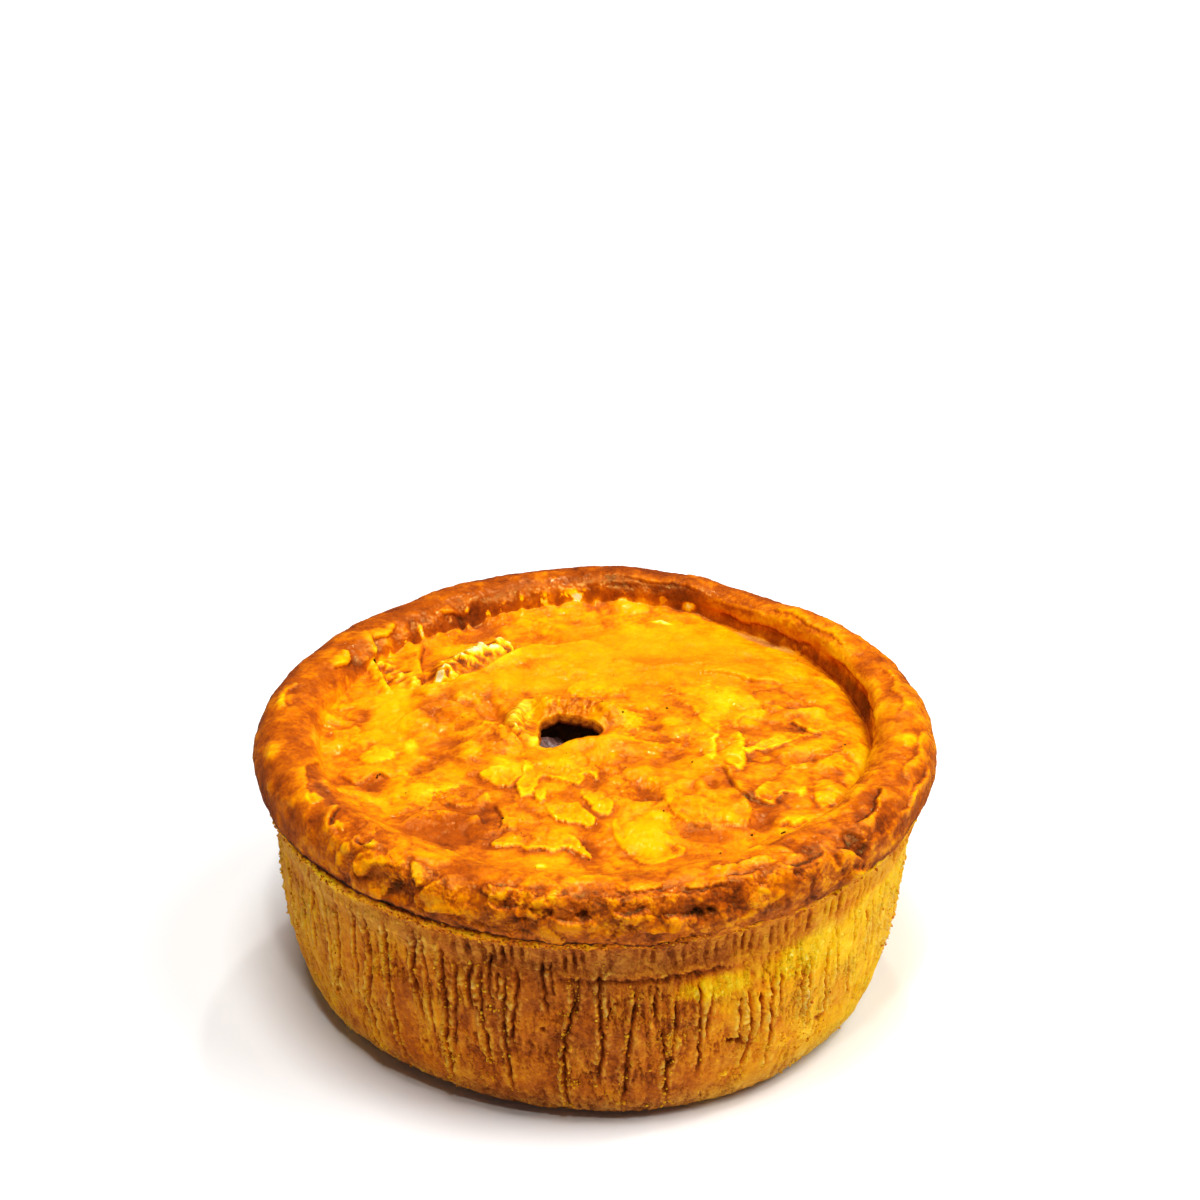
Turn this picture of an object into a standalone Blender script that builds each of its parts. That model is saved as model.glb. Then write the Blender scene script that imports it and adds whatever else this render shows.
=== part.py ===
"""A whole round pork pie: a pastry case and a glazed lid, sealed and baked as one solid piece.

Frame: metres, +Z up, origin at the centre of the flat base that the pie stands on.
The pastry is turned from one profile, its hand-made unevenness is pressed into the turned
mesh by formulas, and the steam hole is cut down to the top of the filling.
"""

import math

import bmesh
import bpy
from mathutils import Vector

# Driving dimensions.
PIE_RADIUS = 0.0600
PIE_HEIGHT = 0.0500

# Lid: a low dome with a groove where it meets the rolled rim.
LID_CROWN = 0.0474
LID_EDGE_HEIGHT = 0.0456
LID_EDGE_RADIUS = 0.0460
GROOVE_RADIUS = 0.0482
GROOVE_HEIGHT = 0.0446
LID_RINGS = 8

# Rim: a rolled edge, oval in section, that overhangs the case.
RIM_HALF_WIDTH = 0.0058
RIM_HALF_HEIGHT = 0.0056
RIM_CENTRE_RADIUS = PIE_RADIUS - RIM_HALF_WIDTH
RIM_CENTRE_HEIGHT = PIE_HEIGHT - RIM_HALF_HEIGHT
RIM_INNER_DEGREES = 165.0
RIM_LIP_DEGREES = -50.0
RIM_POINTS = 10

# Case: a thin flange under the rim, a collar, a ledge, then the barrel-shaped wall.
SEAM_RADIUS = 0.0572
FLANGE_RADIUS = 0.0585
FLANGE_TOP = 0.0396
FLANGE_BOTTOM = 0.0382
COLLAR_RADIUS = 0.0558
COLLAR_HEIGHT = 0.0350
LEDGE_RADIUS = 0.0566
LEDGE_HEIGHT = 0.0318
WALL_FOOT_HEIGHT = 0.0040
WALL_FOOT_RADIUS = 0.0518
WALL_POINTS = 5
BELLY = 0.75  # share of the oval's quarter that the wall follows
BELLY_POWER = 2.2
BASE_ROUND = 0.0040
BASE_POINTS = 4

# Steam hole: an oval hole through the lid, ringed by a swollen lip.
HOLE_X = -0.0042
HOLE_Y = -0.0014
HOLE_HALF_LENGTH = 0.0050
HOLE_HALF_WIDTH = 0.0040
HOLE_FLOOR = 0.0395
HOLE_TAPER = 0.88
HOLE_SIDES = 28
LIP_HEIGHT = 0.0016
LIP_REACH = 0.0032
REFINE_REACH = 1.6 * (HOLE_HALF_LENGTH + LIP_REACH)
REFINE_CUTS = 3
CUTTER_TOP = PIE_HEIGHT + 0.0040

# Steps of the turned mesh, and how close two of its points are before they count as one.
STEPS = 132
MERGE_GAP = 0.00001
SHARP_DEGREES = 40.0

# Unevenness that the baker's hands and the oven leave. Each wave is (turns, shift, share)
# and adds share * sin(turns * angle + shift).
CREASES = 47
CREASE_DEPTH = 0.0008
CREASE_WANDER = ((3.0, 0.0, 1.9), (7.0, 1.0, 1.1))
CREASE_MEAN = 0.65
CREASE_WAVES = ((5.0, 0.6, 0.35),)
RIM_WAVE = 0.0007
RIM_WAVES = ((3.0, 0.5, 0.5), (8.0, 2.0, 0.3), (19.0, 0.3, 0.2))
RIM_DRIFT = 0.0004
DRIFT_MEAN = -0.8
DRIFT_WAVES = ((2.0, 1.2, 0.6), (7.0, 0.0, 0.4))
FOLDS = 33
FOLD_DEPTH = 0.0005
FOLD_REACH = 0.0040
FOLD_WANDER = ((4.0, 0.0, 1.4),)
GROOVE_SWING = 0.0012
GROOVE_REACH = 0.0040
GROOVE_DEEPEST_DEGREES = 25.0
MOUNDS = (
    # x, y, reach, height: the swellings and hollows of the lid
    (-0.024, -0.004, 0.013, 0.0012),
    (-0.004, -0.012, 0.008, 0.0008),
    (0.020, 0.004, 0.015, 0.0009),
    (0.004, -0.034, 0.010, 0.0008),
    (-0.012, 0.006, 0.006, -0.0010),
    (-0.028, -0.030, 0.010, -0.0009),
    (0.026, -0.024, 0.010, -0.0007),
)

# Widths over which one region's unevenness fades into the next.
RIM_FADE = 0.0030
BASE_FADE = 0.0060
FLANGE_FADE = 0.0040
LID_FADE = 0.0060

CRUST_COLOUR = (0.78, 0.36, 0.03, 1.0)
CRUST_ROUGHNESS = 0.5


def clear_scene():
    """Removes whatever the startup file holds."""
    for obj in list(bpy.data.objects):
        bpy.data.objects.remove(obj)


def make_collection(name):
    """A new collection linked to the scene."""
    collection = bpy.data.collections.new(name)
    bpy.context.scene.collection.children.link(collection)
    return collection


def make_material(name, colour, roughness):
    """A Principled BSDF with one colour and roughness."""
    material = bpy.data.materials.new(name)
    material.use_nodes = True
    shader = material.node_tree.nodes["Principled BSDF"]
    shader.inputs["Base Color"].default_value = colour
    shader.inputs["Roughness"].default_value = roughness
    shader.inputs["Metallic"].default_value = 0.0
    return material


def arc(centre, half_width, half_height, start, end, count):
    """Points on an oval from the start to the end angle, in degrees, both included."""
    points = []
    for i in range(count):
        angle = math.radians(start + (end - start) * i / (count - 1))
        radius = centre[0] + half_width * math.cos(angle)
        height = centre[1] + half_height * math.sin(angle)
        points.append((radius, height))
    return points


def lid_profile():
    """The lid from its middle to the groove: a cosine dome, then a short drop."""
    points = []
    for i in range(LID_RINGS + 1):
        share = i / LID_RINGS
        fall = 0.5 - 0.5 * math.cos(math.pi * share)
        height = LID_CROWN + (LID_EDGE_HEIGHT - LID_CROWN) * fall
        points.append((LID_EDGE_RADIUS * share, height))
    points.append((GROOVE_RADIUS, GROOVE_HEIGHT))
    return points


def wall_profile():
    """The wall from the ledge to its foot: part of a quarter oval, so it bellies out."""
    points = []
    whole = 1.0 - math.sqrt(1.0 - BELLY)
    for i in range(WALL_POINTS + 1):
        share = i / WALL_POINTS
        height = LEDGE_HEIGHT + (WALL_FOOT_HEIGHT - LEDGE_HEIGHT) * share
        drawn_in = (1.0 - math.sqrt(1.0 - BELLY * share**BELLY_POWER)) / whole
        radius = LEDGE_RADIUS + (WALL_FOOT_RADIUS - LEDGE_RADIUS) * drawn_in
        points.append((radius, height))
    return points


def pie_profile():
    """The whole outline, from the middle of the lid, over the rim and down to the base."""
    rim_centre = (RIM_CENTRE_RADIUS, RIM_CENTRE_HEIGHT)
    rim = arc(
        rim_centre,
        RIM_HALF_WIDTH,
        RIM_HALF_HEIGHT,
        RIM_INNER_DEGREES,
        RIM_LIP_DEGREES,
        RIM_POINTS,
    )
    case_top = [
        (SEAM_RADIUS, FLANGE_TOP),
        (FLANGE_RADIUS, FLANGE_TOP),
        (FLANGE_RADIUS, FLANGE_BOTTOM),
        (COLLAR_RADIUS, COLLAR_HEIGHT),
    ]
    wall = wall_profile()
    foot_radius, foot_height = wall[-1]
    base_centre = (foot_radius - BASE_ROUND, foot_height)
    base_edge = arc(base_centre, BASE_ROUND, foot_height, 0.0, -90.0, BASE_POINTS)[1:]
    return lid_profile() + rim + case_top + wall + base_edge + [(0.0, 0.0)]


def turn_profile(points, material, collection):
    """Turns the outline about Z with a Screw modifier, and returns it as a plain mesh object."""
    outline = bpy.data.meshes.new("outline")
    edges = [(i, i + 1) for i in range(len(points) - 1)]
    outline.from_pydata([(r, 0.0, z) for r, z in points], edges, [])
    guide = bpy.data.objects.new("outline", outline)
    collection.objects.link(guide)
    screw = guide.modifiers.new("turn", "SCREW")
    screw.axis = "Z"
    screw.steps = STEPS
    screw.render_steps = STEPS
    screw.use_merge_vertices = True
    screw.merge_threshold = MERGE_GAP
    graph = bpy.context.evaluated_depsgraph_get()
    turned = bpy.data.meshes.new_from_object(guide.evaluated_get(graph))
    bpy.data.objects.remove(guide)
    pie = bpy.data.objects.new("pie", turned)
    turned.materials.append(material)
    collection.objects.link(pie)
    return pie


def waves(angle, terms):
    """The sum of share * sin(turns * angle + shift) over the terms."""
    return sum(share * math.sin(turns * angle + shift) for turns, shift, share in terms)


def bump(distance, reach):
    """A smooth swelling: 1 in the middle, 0 from the reach outwards."""
    if distance >= reach:
        return 0.0
    return 0.5 + 0.5 * math.cos(math.pi * distance / reach)


def hole_distance(x, y):
    """How far a point lies outside the steam hole's oval, in metres, negative inside it."""
    across = (x - HOLE_X) / HOLE_HALF_LENGTH
    along = (y - HOLE_Y) / HOLE_HALF_WIDTH
    mean_radius = 0.5 * (HOLE_HALF_LENGTH + HOLE_HALF_WIDTH)
    return (math.hypot(across, along) - 1.0) * mean_radius


def rim_share(radius, height):
    """1 on the rolled rim, fading to 0 at the groove and below the lip."""
    above = min(max((height - FLANGE_TOP) / RIM_FADE, 0.0), 1.0)
    outside = min(max((radius - GROOVE_RADIUS) / RIM_FADE, 0.0), 1.0)
    return above * outside


def wall_share(height):
    """1 over the wall, fading to 0 at the flange and at the flat base."""
    from_base = min(max(height / BASE_FADE, 0.0), 1.0)
    from_flange = min(max((FLANGE_BOTTOM - height) / FLANGE_FADE, 0.0), 1.0)
    return from_base * from_flange


def crease_depth(angle):
    """Depth of the wall's upright creases: narrow, unevenly spaced and unevenly deep."""
    narrow = max(math.cos(CREASES * angle + waves(angle, CREASE_WANDER)), 0.0) ** 2
    return CREASE_DEPTH * narrow * (CREASE_MEAN + waves(angle, CREASE_WAVES))


def rim_wave(angle):
    """Rise and fall of the rim's crest round the pie, from 0 down to twice the wave."""
    return RIM_WAVE * (waves(angle, RIM_WAVES) - 1.0)


def rim_drift(angle):
    """How far the rim strays inwards from a true circle."""
    return RIM_DRIFT * (waves(angle, DRIFT_WAVES) + DRIFT_MEAN)


def fold_depth(angle, radius):
    """Pinched folds on the inner slope of the rim, plainest at the back."""
    on_slope = bump(abs(radius - 0.5 * (GROOVE_RADIUS + RIM_CENTRE_RADIUS)), FOLD_REACH)
    narrow = max(math.cos(FOLDS * angle + waves(angle, FOLD_WANDER)), 0.0)
    at_back = 0.5 + 0.5 * math.sin(angle)
    return FOLD_DEPTH * narrow * at_back * on_slope


def groove_drop(angle):
    """The groove is deepest at the back right and nearly closed at the front left."""
    return GROOVE_SWING * math.cos(angle - math.radians(GROOVE_DEEPEST_DEGREES))


def lid_lift(x, y):
    """The lid's swellings and hollows, with the swollen lip of the steam hole on top."""
    lift = 0.0
    for mound_x, mound_y, reach, height in MOUNDS:
        lift += height * bump(math.hypot(x - mound_x, y - mound_y), reach)
    outside_hole = hole_distance(x, y)
    return lift + LIP_HEIGHT * bump(abs(outside_hole), LIP_REACH)


def shape_by_hand(pie):
    """Moves the turned mesh's points to give the lid, rim and wall their unevenness."""
    for vertex in pie.data.vertices:
        x, y, z = vertex.co
        radius = math.hypot(x, y)
        if z < MERGE_GAP:
            continue
        angle = math.atan2(y, x)
        outward = Vector((x, y, 0.0)).normalized() if radius > MERGE_GAP else Vector()
        on_rim = rim_share(radius, z)
        near_groove = bump(abs(radius - GROOVE_RADIUS), GROOVE_REACH) if z > FLANGE_TOP else 0.0
        push = -crease_depth(angle) * wall_share(z)
        push += rim_drift(angle) * on_rim
        lift = (rim_wave(angle) - fold_depth(angle, radius)) * on_rim
        lift -= groove_drop(angle) * near_groove
        if radius < GROOVE_RADIUS and z > FLANGE_TOP:
            lift += lid_lift(x, y) * min((GROOVE_RADIUS - radius) / LID_FADE, 1.0)
        vertex.co = vertex.co + outward * push + Vector((0.0, 0.0, lift))
    pie.data.shade_smooth()
    pie.data.set_sharp_from_angle(angle=math.radians(SHARP_DEGREES))


def refine_lid_middle(pie):
    """Splits the lid's faces round the steam hole, so that its lip is round."""
    mesh = bmesh.new()
    mesh.from_mesh(pie.data)
    close = []
    for edge in mesh.edges:
        middle = (edge.verts[0].co + edge.verts[1].co) / 2
        is_ring = abs(edge.verts[0].co.xy.length - edge.verts[1].co.xy.length) < MERGE_GAP
        if middle.z > FLANGE_TOP and middle.xy.length < REFINE_REACH and not is_ring:
            close.append(edge)
    bmesh.ops.subdivide_edges(mesh, edges=close, cuts=REFINE_CUTS, use_grid_fill=True)
    mesh.to_mesh(pie.data)
    mesh.free()


def cut_steam_hole(pie, cutters):
    """Cuts the oval steam hole from above the lid down to the top of the filling."""
    mesh = bmesh.new()
    depth = CUTTER_TOP - HOLE_FLOOR
    bmesh.ops.create_cone(
        mesh,
        cap_ends=True,
        segments=HOLE_SIDES,
        radius1=HOLE_TAPER,
        radius2=1.0,
        depth=depth,
    )
    oval = Vector((HOLE_HALF_LENGTH, HOLE_HALF_WIDTH, 1.0))
    bmesh.ops.scale(mesh, vec=oval, verts=mesh.verts)
    cutter_mesh = bpy.data.meshes.new("steam_hole_cutter")
    mesh.to_mesh(cutter_mesh)
    mesh.free()
    cutter = bpy.data.objects.new("steam_hole_cutter", cutter_mesh)
    cutter.location = (HOLE_X, HOLE_Y, HOLE_FLOOR + depth / 2)
    cutter.hide_render = True
    cutter.display_type = "WIRE"
    cutters.objects.link(cutter)
    cut = pie.modifiers.new("steam_hole", "BOOLEAN")
    cut.operation = "DIFFERENCE"
    cut.solver = "EXACT"
    cut.object = cutter


def main():
    clear_scene()
    parts = make_collection("pork_pie")
    cutters = make_collection("cutters")
    crust = make_material("baked_crust", CRUST_COLOUR, CRUST_ROUGHNESS)
    pie = turn_profile(pie_profile(), crust, parts)
    refine_lid_middle(pie)
    shape_by_hand(pie)
    cut_steam_hole(pie, cutters)


main()
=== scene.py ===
import math

import bpy
import numpy as np
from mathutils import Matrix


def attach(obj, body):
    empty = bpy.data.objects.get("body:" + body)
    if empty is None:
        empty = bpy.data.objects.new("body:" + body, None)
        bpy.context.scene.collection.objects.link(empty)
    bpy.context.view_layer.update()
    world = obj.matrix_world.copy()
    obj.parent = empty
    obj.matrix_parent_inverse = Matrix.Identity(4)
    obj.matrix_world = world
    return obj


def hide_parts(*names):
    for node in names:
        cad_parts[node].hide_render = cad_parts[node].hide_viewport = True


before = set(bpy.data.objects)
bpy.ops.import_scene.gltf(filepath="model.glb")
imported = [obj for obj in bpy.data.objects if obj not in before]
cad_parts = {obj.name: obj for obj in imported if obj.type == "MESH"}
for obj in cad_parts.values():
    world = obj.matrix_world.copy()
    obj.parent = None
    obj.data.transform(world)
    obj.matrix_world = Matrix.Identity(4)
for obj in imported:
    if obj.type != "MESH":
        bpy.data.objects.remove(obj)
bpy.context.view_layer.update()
print("frame loaded")

# Lengths below are in millimetres; a mesh gets metres when it is made.
# Angles round the pie are in degrees from +X, so -90 is the front.
metre = 0.001
columns = 1472  # round the rim: eight for each ring of the lid
caseColumns = 1536  # round the case

slopeCount = 4096
slopeTable = np.random.default_rng(11).normal(size=(slopeCount, 3))
slopeTable /= np.linalg.norm(slopeTable, axis=1, keepdims=True)
pointTable = np.random.default_rng(12).random(size=(slopeCount, 4))


def scramble(cellX, cellY, cellZ, seed):
    # one repeatable table row for each cell of a lattice
    mixed = cellX * 73856093 ^ cellY * 19349663 ^ cellZ * 83492791 ^ seed * 26544357
    mixed = (mixed ^ (mixed >> 13)) * 1274126177
    return (mixed ^ (mixed >> 16)) % slopeCount


def ripple(points, cell, seed):
    # smooth noise from -1 to 1: a random slope at each lattice corner, blended over the cell
    scaled = points / cell + 0.37 * seed
    corner = np.floor(scaled).astype(np.int64)
    inside = scaled - corner
    blend = inside**3 * (inside * (inside * 6 - 15) + 10)
    total = np.zeros(len(points))
    for stepX in (0, 1):
        for stepY in (0, 1):
            for stepZ in (0, 1):
                row = scramble(corner[:, 0] + stepX, corner[:, 1] + stepY, corner[:, 2] + stepZ, seed)
                away = inside - (stepX, stepY, stepZ)
                value = (slopeTable[row] * away).sum(axis=1)
                wX = blend[:, 0] if stepX else 1 - blend[:, 0]
                wY = blend[:, 1] if stepY else 1 - blend[:, 1]
                wZ = blend[:, 2] if stepZ else 1 - blend[:, 2]
                total += value * wX * wY * wZ
    return total * 1.7


def cloud(points, cell, seed, layers=3, fade=0.5):
    # ripples added up, each layer half the size of the last and fade times as strong
    total = np.zeros(len(points))
    strength, sumOfStrengths = 1.0, 0.0
    for layer in range(layers):
        total += strength * ripple(points, cell / 2**layer, seed + layer)
        sumOfStrengths += strength
        strength *= fade
    return total / sumOfStrengths**0.75


def scatter(points, cell, seed):
    # distance in cells to the nearest of the points strewn one to a cell, and that point's own random value
    scaled = points / cell + 0.37 * seed
    corner = np.floor(scaled).astype(np.int64)
    nearest = np.full(len(points), 9.0)
    owner = np.zeros(len(points))
    for stepX in (-1, 0, 1):
        for stepY in (-1, 0, 1):
            for stepZ in (-1, 0, 1):
                cellAt = corner + (stepX, stepY, stepZ)
                row = scramble(cellAt[:, 0], cellAt[:, 1], cellAt[:, 2], seed)
                gap = np.linalg.norm(cellAt + pointTable[row, :3] - scaled, axis=1)
                closer = gap < nearest
                nearest[closer] = gap[closer]
                owner[closer] = pointTable[row[closer], 3]
    return nearest, owner


def ease(value):
    # 0 below 0, 1 above 1, and an S-curve between
    value = np.clip(value, 0.0, 1.0)
    return value * value * (3 - 2 * value)


def hump(value):
    # 1 where value is 0, falling smoothly to 0 at 1 and beyond
    return ease(1.0 - np.abs(value))


def around(degrees, knots):
    # a value that changes smoothly round the pie, through (degrees, value) knots
    places = sorted(knots)
    at = np.array([p for p, _ in places], float)
    value = np.array([v for _, v in places], float)
    at = np.concatenate([at[-1:] - 360, at, at[:1] + 360])
    value = np.concatenate([value[-1:], value, value[:1]])
    degrees = (degrees - at[0]) % 360 + at[0]
    slot = np.clip(np.searchsorted(at, degrees, side="right") - 1, 0, len(at) - 2)
    share = ease((degrees - at[slot]) / (at[slot + 1] - at[slot]))
    return value[slot] + (value[slot + 1] - value[slot]) * share


def plates(points, cell, seed):
    # overlapping flakes of dough: the two nearest strewn points are found, each with its own random level.
    # Returns the height (0 to 1), and an edge value: near +1 on a flake's raised lip, near -1 at the foot below it
    scaled = points / cell + 0.37 * seed
    corner = np.floor(scaled).astype(np.int64)
    first, second = np.full(len(points), 9.0), np.full(len(points), 9.0)
    firstLevel, secondLevel = np.zeros(len(points)), np.zeros(len(points))
    for stepX in (-1, 0, 1):
        for stepY in (-1, 0, 1):
            for stepZ in (-1, 0, 1):
                cellAt = corner + (stepX, stepY, stepZ)
                row = scramble(cellAt[:, 0], cellAt[:, 1], cellAt[:, 2], seed)
                gap = np.linalg.norm(cellAt + pointTable[row, :3] - scaled, axis=1)
                level = pointTable[row, 3]
                isFirst = gap < first
                isSecond = ~isFirst & (gap < second)
                second = np.where(isFirst, first, np.where(isSecond, gap, second))
                secondLevel = np.where(isFirst, firstLevel, np.where(isSecond, level, secondLevel))
                first = np.where(isFirst, gap, first)
                firstLevel = np.where(isFirst, level, firstLevel)
    border = second - first
    blend = 0.5 + 0.5 * ease(border / 0.12)
    height = firstLevel * blend + secondLevel * (1 - blend)
    edge = (firstLevel - secondLevel) * np.exp(-((border / 0.34) ** 2))
    return height, edge



def makeSkin(base, out):
    # a pastry surface before baking: its smooth shape, which way it swells, and what each point is like
    size = len(base)
    skin = {"base": base, "out": out, "size": size}
    for name in ("lift", "bake", "dry", "gloss", "flaky"):
        skin[name] = np.zeros(size)
    skin["torn"] = np.stack([cloud(base, 1.9, seed, 4, 0.68) for seed in (901, 911)], axis=1)
    skin["wavy"] = np.stack([ripple(base, 7.0, seed) for seed in (921, 931)], axis=1)
    skin["lobed"] = np.stack([cloud(base, 3.6, seed, 2, 0.6) for seed in (941, 951)], axis=1)
    return skin


def makePlan(skin, across, along, loop=None):
    # two running lengths on a skin, to place details by; loop is the length after which across repeats
    return {"skin": skin, "across": across, "along": along, "loop": loop}


def offsets(plan, at, rows, rag):
    # how far each point lies from a place on the plan, with torn and wavy edges mixed in
    skin = plan["skin"]
    across = plan["across"][rows] - at[0]
    if plan["loop"]:
        across = (across + plan["loop"] / 2) % plan["loop"] - plan["loop"] / 2
    along = plan["along"][rows] - at[1]
    across = across + rag * skin["torn"][rows, 0] + 0.3 * rag * skin["wavy"][rows, 0]
    along = along + rag * skin["torn"][rows, 1] + 0.3 * rag * skin["wavy"][rows, 1]
    return across, along


def rowsNear(plan, at, reach):
    # the points within reach of a place
    across = plan["across"] - at[0]
    if plan["loop"]:
        across = (across + plan["loop"] / 2) % plan["loop"] - plan["loop"] / 2
    return np.nonzero((np.abs(across) < reach) & (np.abs(plan["along"] - at[1]) < reach))[0]


def change(skin, rows, share, **amounts):
    # adds a detail's amounts to the skin's arrays of those names, each times the detail's share
    for name, amount in amounts.items():
        if amount:
            skin[name][rows] += amount * share


def addSpot(plan, at, size, turn=0.0, edge=1.0, rag=0.6, **amounts):
    # an oval patch: full inside, falling off over the outer share called edge
    rows = rowsNear(plan, at, max(size) + 2.5 * rag + 0.5)
    across, along = offsets(plan, at, rows, rag)
    c, s = math.cos(math.radians(turn)), math.sin(math.radians(turn))
    first = (across * c + along * s) / size[0]
    second = (along * c - across * s) / size[1]
    share = ease((1 - np.hypot(first, second)) / edge)
    change(plan["skin"], rows, share, **amounts)
    return rows, share


def smoothLine(points, steps=5):
    # a soft curve through given points (Catmull-Rom)
    points = np.array(points, float)
    ends = np.concatenate([[2 * points[0] - points[1]], points, [2 * points[-1] - points[-2]]])
    share = np.linspace(0, 1, steps, endpoint=False)[:, None]
    pieces = []
    for before, start, end, after in zip(ends, ends[1:], ends[2:], ends[3:]):
        pieces.append(
            0.5 * (2 * start + (end - before) * share
                   + (2 * before - 5 * start + 4 * end - after) * share**2
                   + (3 * start - before - 3 * end + after) * share**3)
        )
    return np.concatenate(pieces + [points[-1:]])


def lineGap(plan, line, rag, reach):
    # rows near a line, their distance from it (above 0 to the left of its way), and how far along it they are, 0 to 1
    line = smoothLine(line)
    middle = (line.min(axis=0) + line.max(axis=0)) / 2
    half = (line.max(axis=0) - line.min(axis=0)).max() / 2
    rows = rowsNear(plan, middle, half + reach + 2 * rag)
    across, along = offsets(plan, middle, rows, rag)
    best = np.full(len(rows), 1e9)
    side = np.ones(len(rows))
    run = np.zeros(len(rows))
    lengths = np.linalg.norm(np.diff(line, axis=0), axis=1)
    before = np.concatenate([[0], np.cumsum(lengths)])
    for index, length in enumerate(lengths):
        start = line[index] - middle
        way = (line[index + 1] - line[index]) / length
        dx, dy = across - start[0], along - start[1]
        share = np.clip(dx * way[0] + dy * way[1], 0, length)
        gapX, gapY = dx - share * way[0], dy - share * way[1]
        gap = np.hypot(gapX, gapY)
        closer = gap < best
        best[closer] = gap[closer]
        side[closer] = np.sign(way[0] * dy - way[1] * dx)[closer]
        run[closer] = ((before[index] + share) / before[-1])[closer]
    return rows, best * side, run


def addFold(plan, line, lift=0.6, reach=2.5, rag=0.35, pale=-0.2, dark=0.25, foot=0.4, taper=0.12):
    # an edge of pastry that stands up along a line: it slopes away gently on the left and drops off on the right.
    # left height = lift * exp(-(gap / reach)^2), right height falls to nothing over foot.
    # The lip stays pale, partly a painted highlight; the ground under it is painted darker, as the edge's shade, and a
    # thin dark line of painted shadow marks the gap between
    rows, gap, run = lineGap(plan, line, rag, 2.2 * reach + 2.0)
    end = ease(np.minimum(run, 1 - run) / taper)
    left = gap >= 0
    drop = ease(1 + gap / foot)
    height = np.where(left, np.exp(-((gap / reach) ** 2)), drop) * end
    lip = np.where(left, 0.45 * np.exp(-((gap / 0.8) ** 2)) + 0.55 * np.exp(-((gap / (0.7 * reach)) ** 2)), drop) * end
    ground = np.where(left, 0, np.exp(-(((gap + foot) / (0.5 + 0.5 * reach)) ** 2)) * (1 - drop)) * end
    gapShadow = hump((gap + foot) / 0.36) * end
    skin = plan["skin"]
    change(skin, rows, height, lift=lift)
    change(skin, rows, lip, bake=pale)
    # painted shade on the ground under the edge, and a painted shadow line in the gap
    change(skin, rows, ground, bake=0.5 * dark, lift=-0.2 * lift)
    change(skin, rows, gapShadow, bake=0.9 * dark)


def addRidge(plan, line, lift=0.8, width=2.0, rag=0.3, taper=0.2, **amounts):
    # a rounded swelling along a line: lift * exp(-(gap / width)^2), below 0 for a furrow
    rows, gap, run = lineGap(plan, line, rag, 2.4 * width + 0.6)
    share = np.exp(-((gap / width) ** 2)) * ease(np.minimum(run, 1 - run) / taper)
    change(plan["skin"], rows, share, lift=lift, **amounts)
    return rows, gap, run


def addFlake(plan, outline, lift=0.6, hinge=90, rag=0.3, pale=-0.18, dark=0.3, gloss=0.0, dry=0.0, attached=0.7):
    # a flake of pastry inside a closed outline: attached on the side the hinge angle points to, free on the other.
    # height = lift * edge * free, where edge rises over 0.26 mm inside the outline and free runs 1 to 0 towards the hinge
    points = np.array(outline, float)
    ring = smoothLine(np.concatenate([points[-2:], points, points[:3]]), 4)[8:-8]
    middle = (ring.min(axis=0) + ring.max(axis=0)) / 2
    half = (ring.max(axis=0) - ring.min(axis=0)).max() / 2
    rows = rowsNear(plan, middle, half + 3.5 + rag)
    across, along = offsets(plan, middle, rows, rag)
    across = across + 0.8 * rag * plan["skin"]["lobed"][rows, 0]
    along = along + 0.8 * rag * plan["skin"]["lobed"][rows, 1]
    ring = ring - middle
    best = np.full(len(rows), 1e9)
    inside = np.zeros(len(rows), bool)
    for start, stop in zip(ring, np.roll(ring, -1, axis=0)):
        way = stop - start
        length = math.hypot(*way)
        if length < 1e-6:
            continue
        share = np.clip(((across - start[0]) * way[0] + (along - start[1]) * way[1]) / length**2, 0, 1)
        best = np.minimum(best, np.hypot(across - start[0] - share * way[0], along - start[1] - share * way[1]))
        crosses = (start[1] > along) != (stop[1] > along)
        reach = np.where(crosses, (along - start[1]) / (way[1] if abs(way[1]) > 1e-9 else 1e-9) * way[0] + start[0], 0)
        inside ^= crosses & (across < reach)
    gap = np.where(inside, best, -best)
    skin = plan["skin"]
    hingeX, hingeY = math.cos(math.radians(hinge)), math.sin(math.radians(hinge))
    depth = np.abs(ring @ np.array([hingeX, hingeY])).max()
    place = (across * hingeX + along * hingeY) / depth
    free = 1 - ease((place + attached - 0.35) / (2 * attached)) if attached else np.ones(len(rows))
    edge = ease(gap / 0.26)
    lip = np.exp(-(((gap - 0.6) / 0.36) ** 2)) * free
    ground = np.where(inside, 0, np.exp(-((gap / 1.3) ** 2))) * free
    broken = np.clip(0.55 + 1.4 * skin["torn"][rows, 0], 0, 1.2)
    gapShadow = hump((gap - 0.04) / 0.34) * free * broken
    # the flake's grain runs from its hinge to its free edge
    level = -across * hingeY + along * hingeX
    towards = across * hingeX + along * hingeY
    grain = ripple(np.stack([level / 0.6, towards / 3.4, lift + 0 * level], axis=1), 1.0, 641)
    uneven = 0.8 + 0.7 * skin["lobed"][rows, 0]
    change(skin, rows, edge * free * uneven, lift=0.5 * lift)
    change(skin, rows, edge * free**1.5, bake=pale, gloss=gloss, dry=dry)
    change(skin, rows, edge * grain * free, bake=0.06, lift=0.05, gloss=0.3)
    # the lip is painted paler, partly a painted highlight; beside the free edge the ground is painted darker and the
    # gap gets a dark line: painted shade and shadow
    change(skin, rows, lip * broken, bake=1.2 * pale, lift=0.34 * lift, gloss=0.5)
    change(skin, rows, ground * free, bake=0.55 * dark, lift=-0.2 * lift)
    change(skin, rows, gapShadow * free, bake=1.0 * dark)


def shaped(skin):
    # the finished points: the smooth shape moved along its swelling direction
    return skin["base"] + skin["out"] * skin["lift"][:, None]


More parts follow.
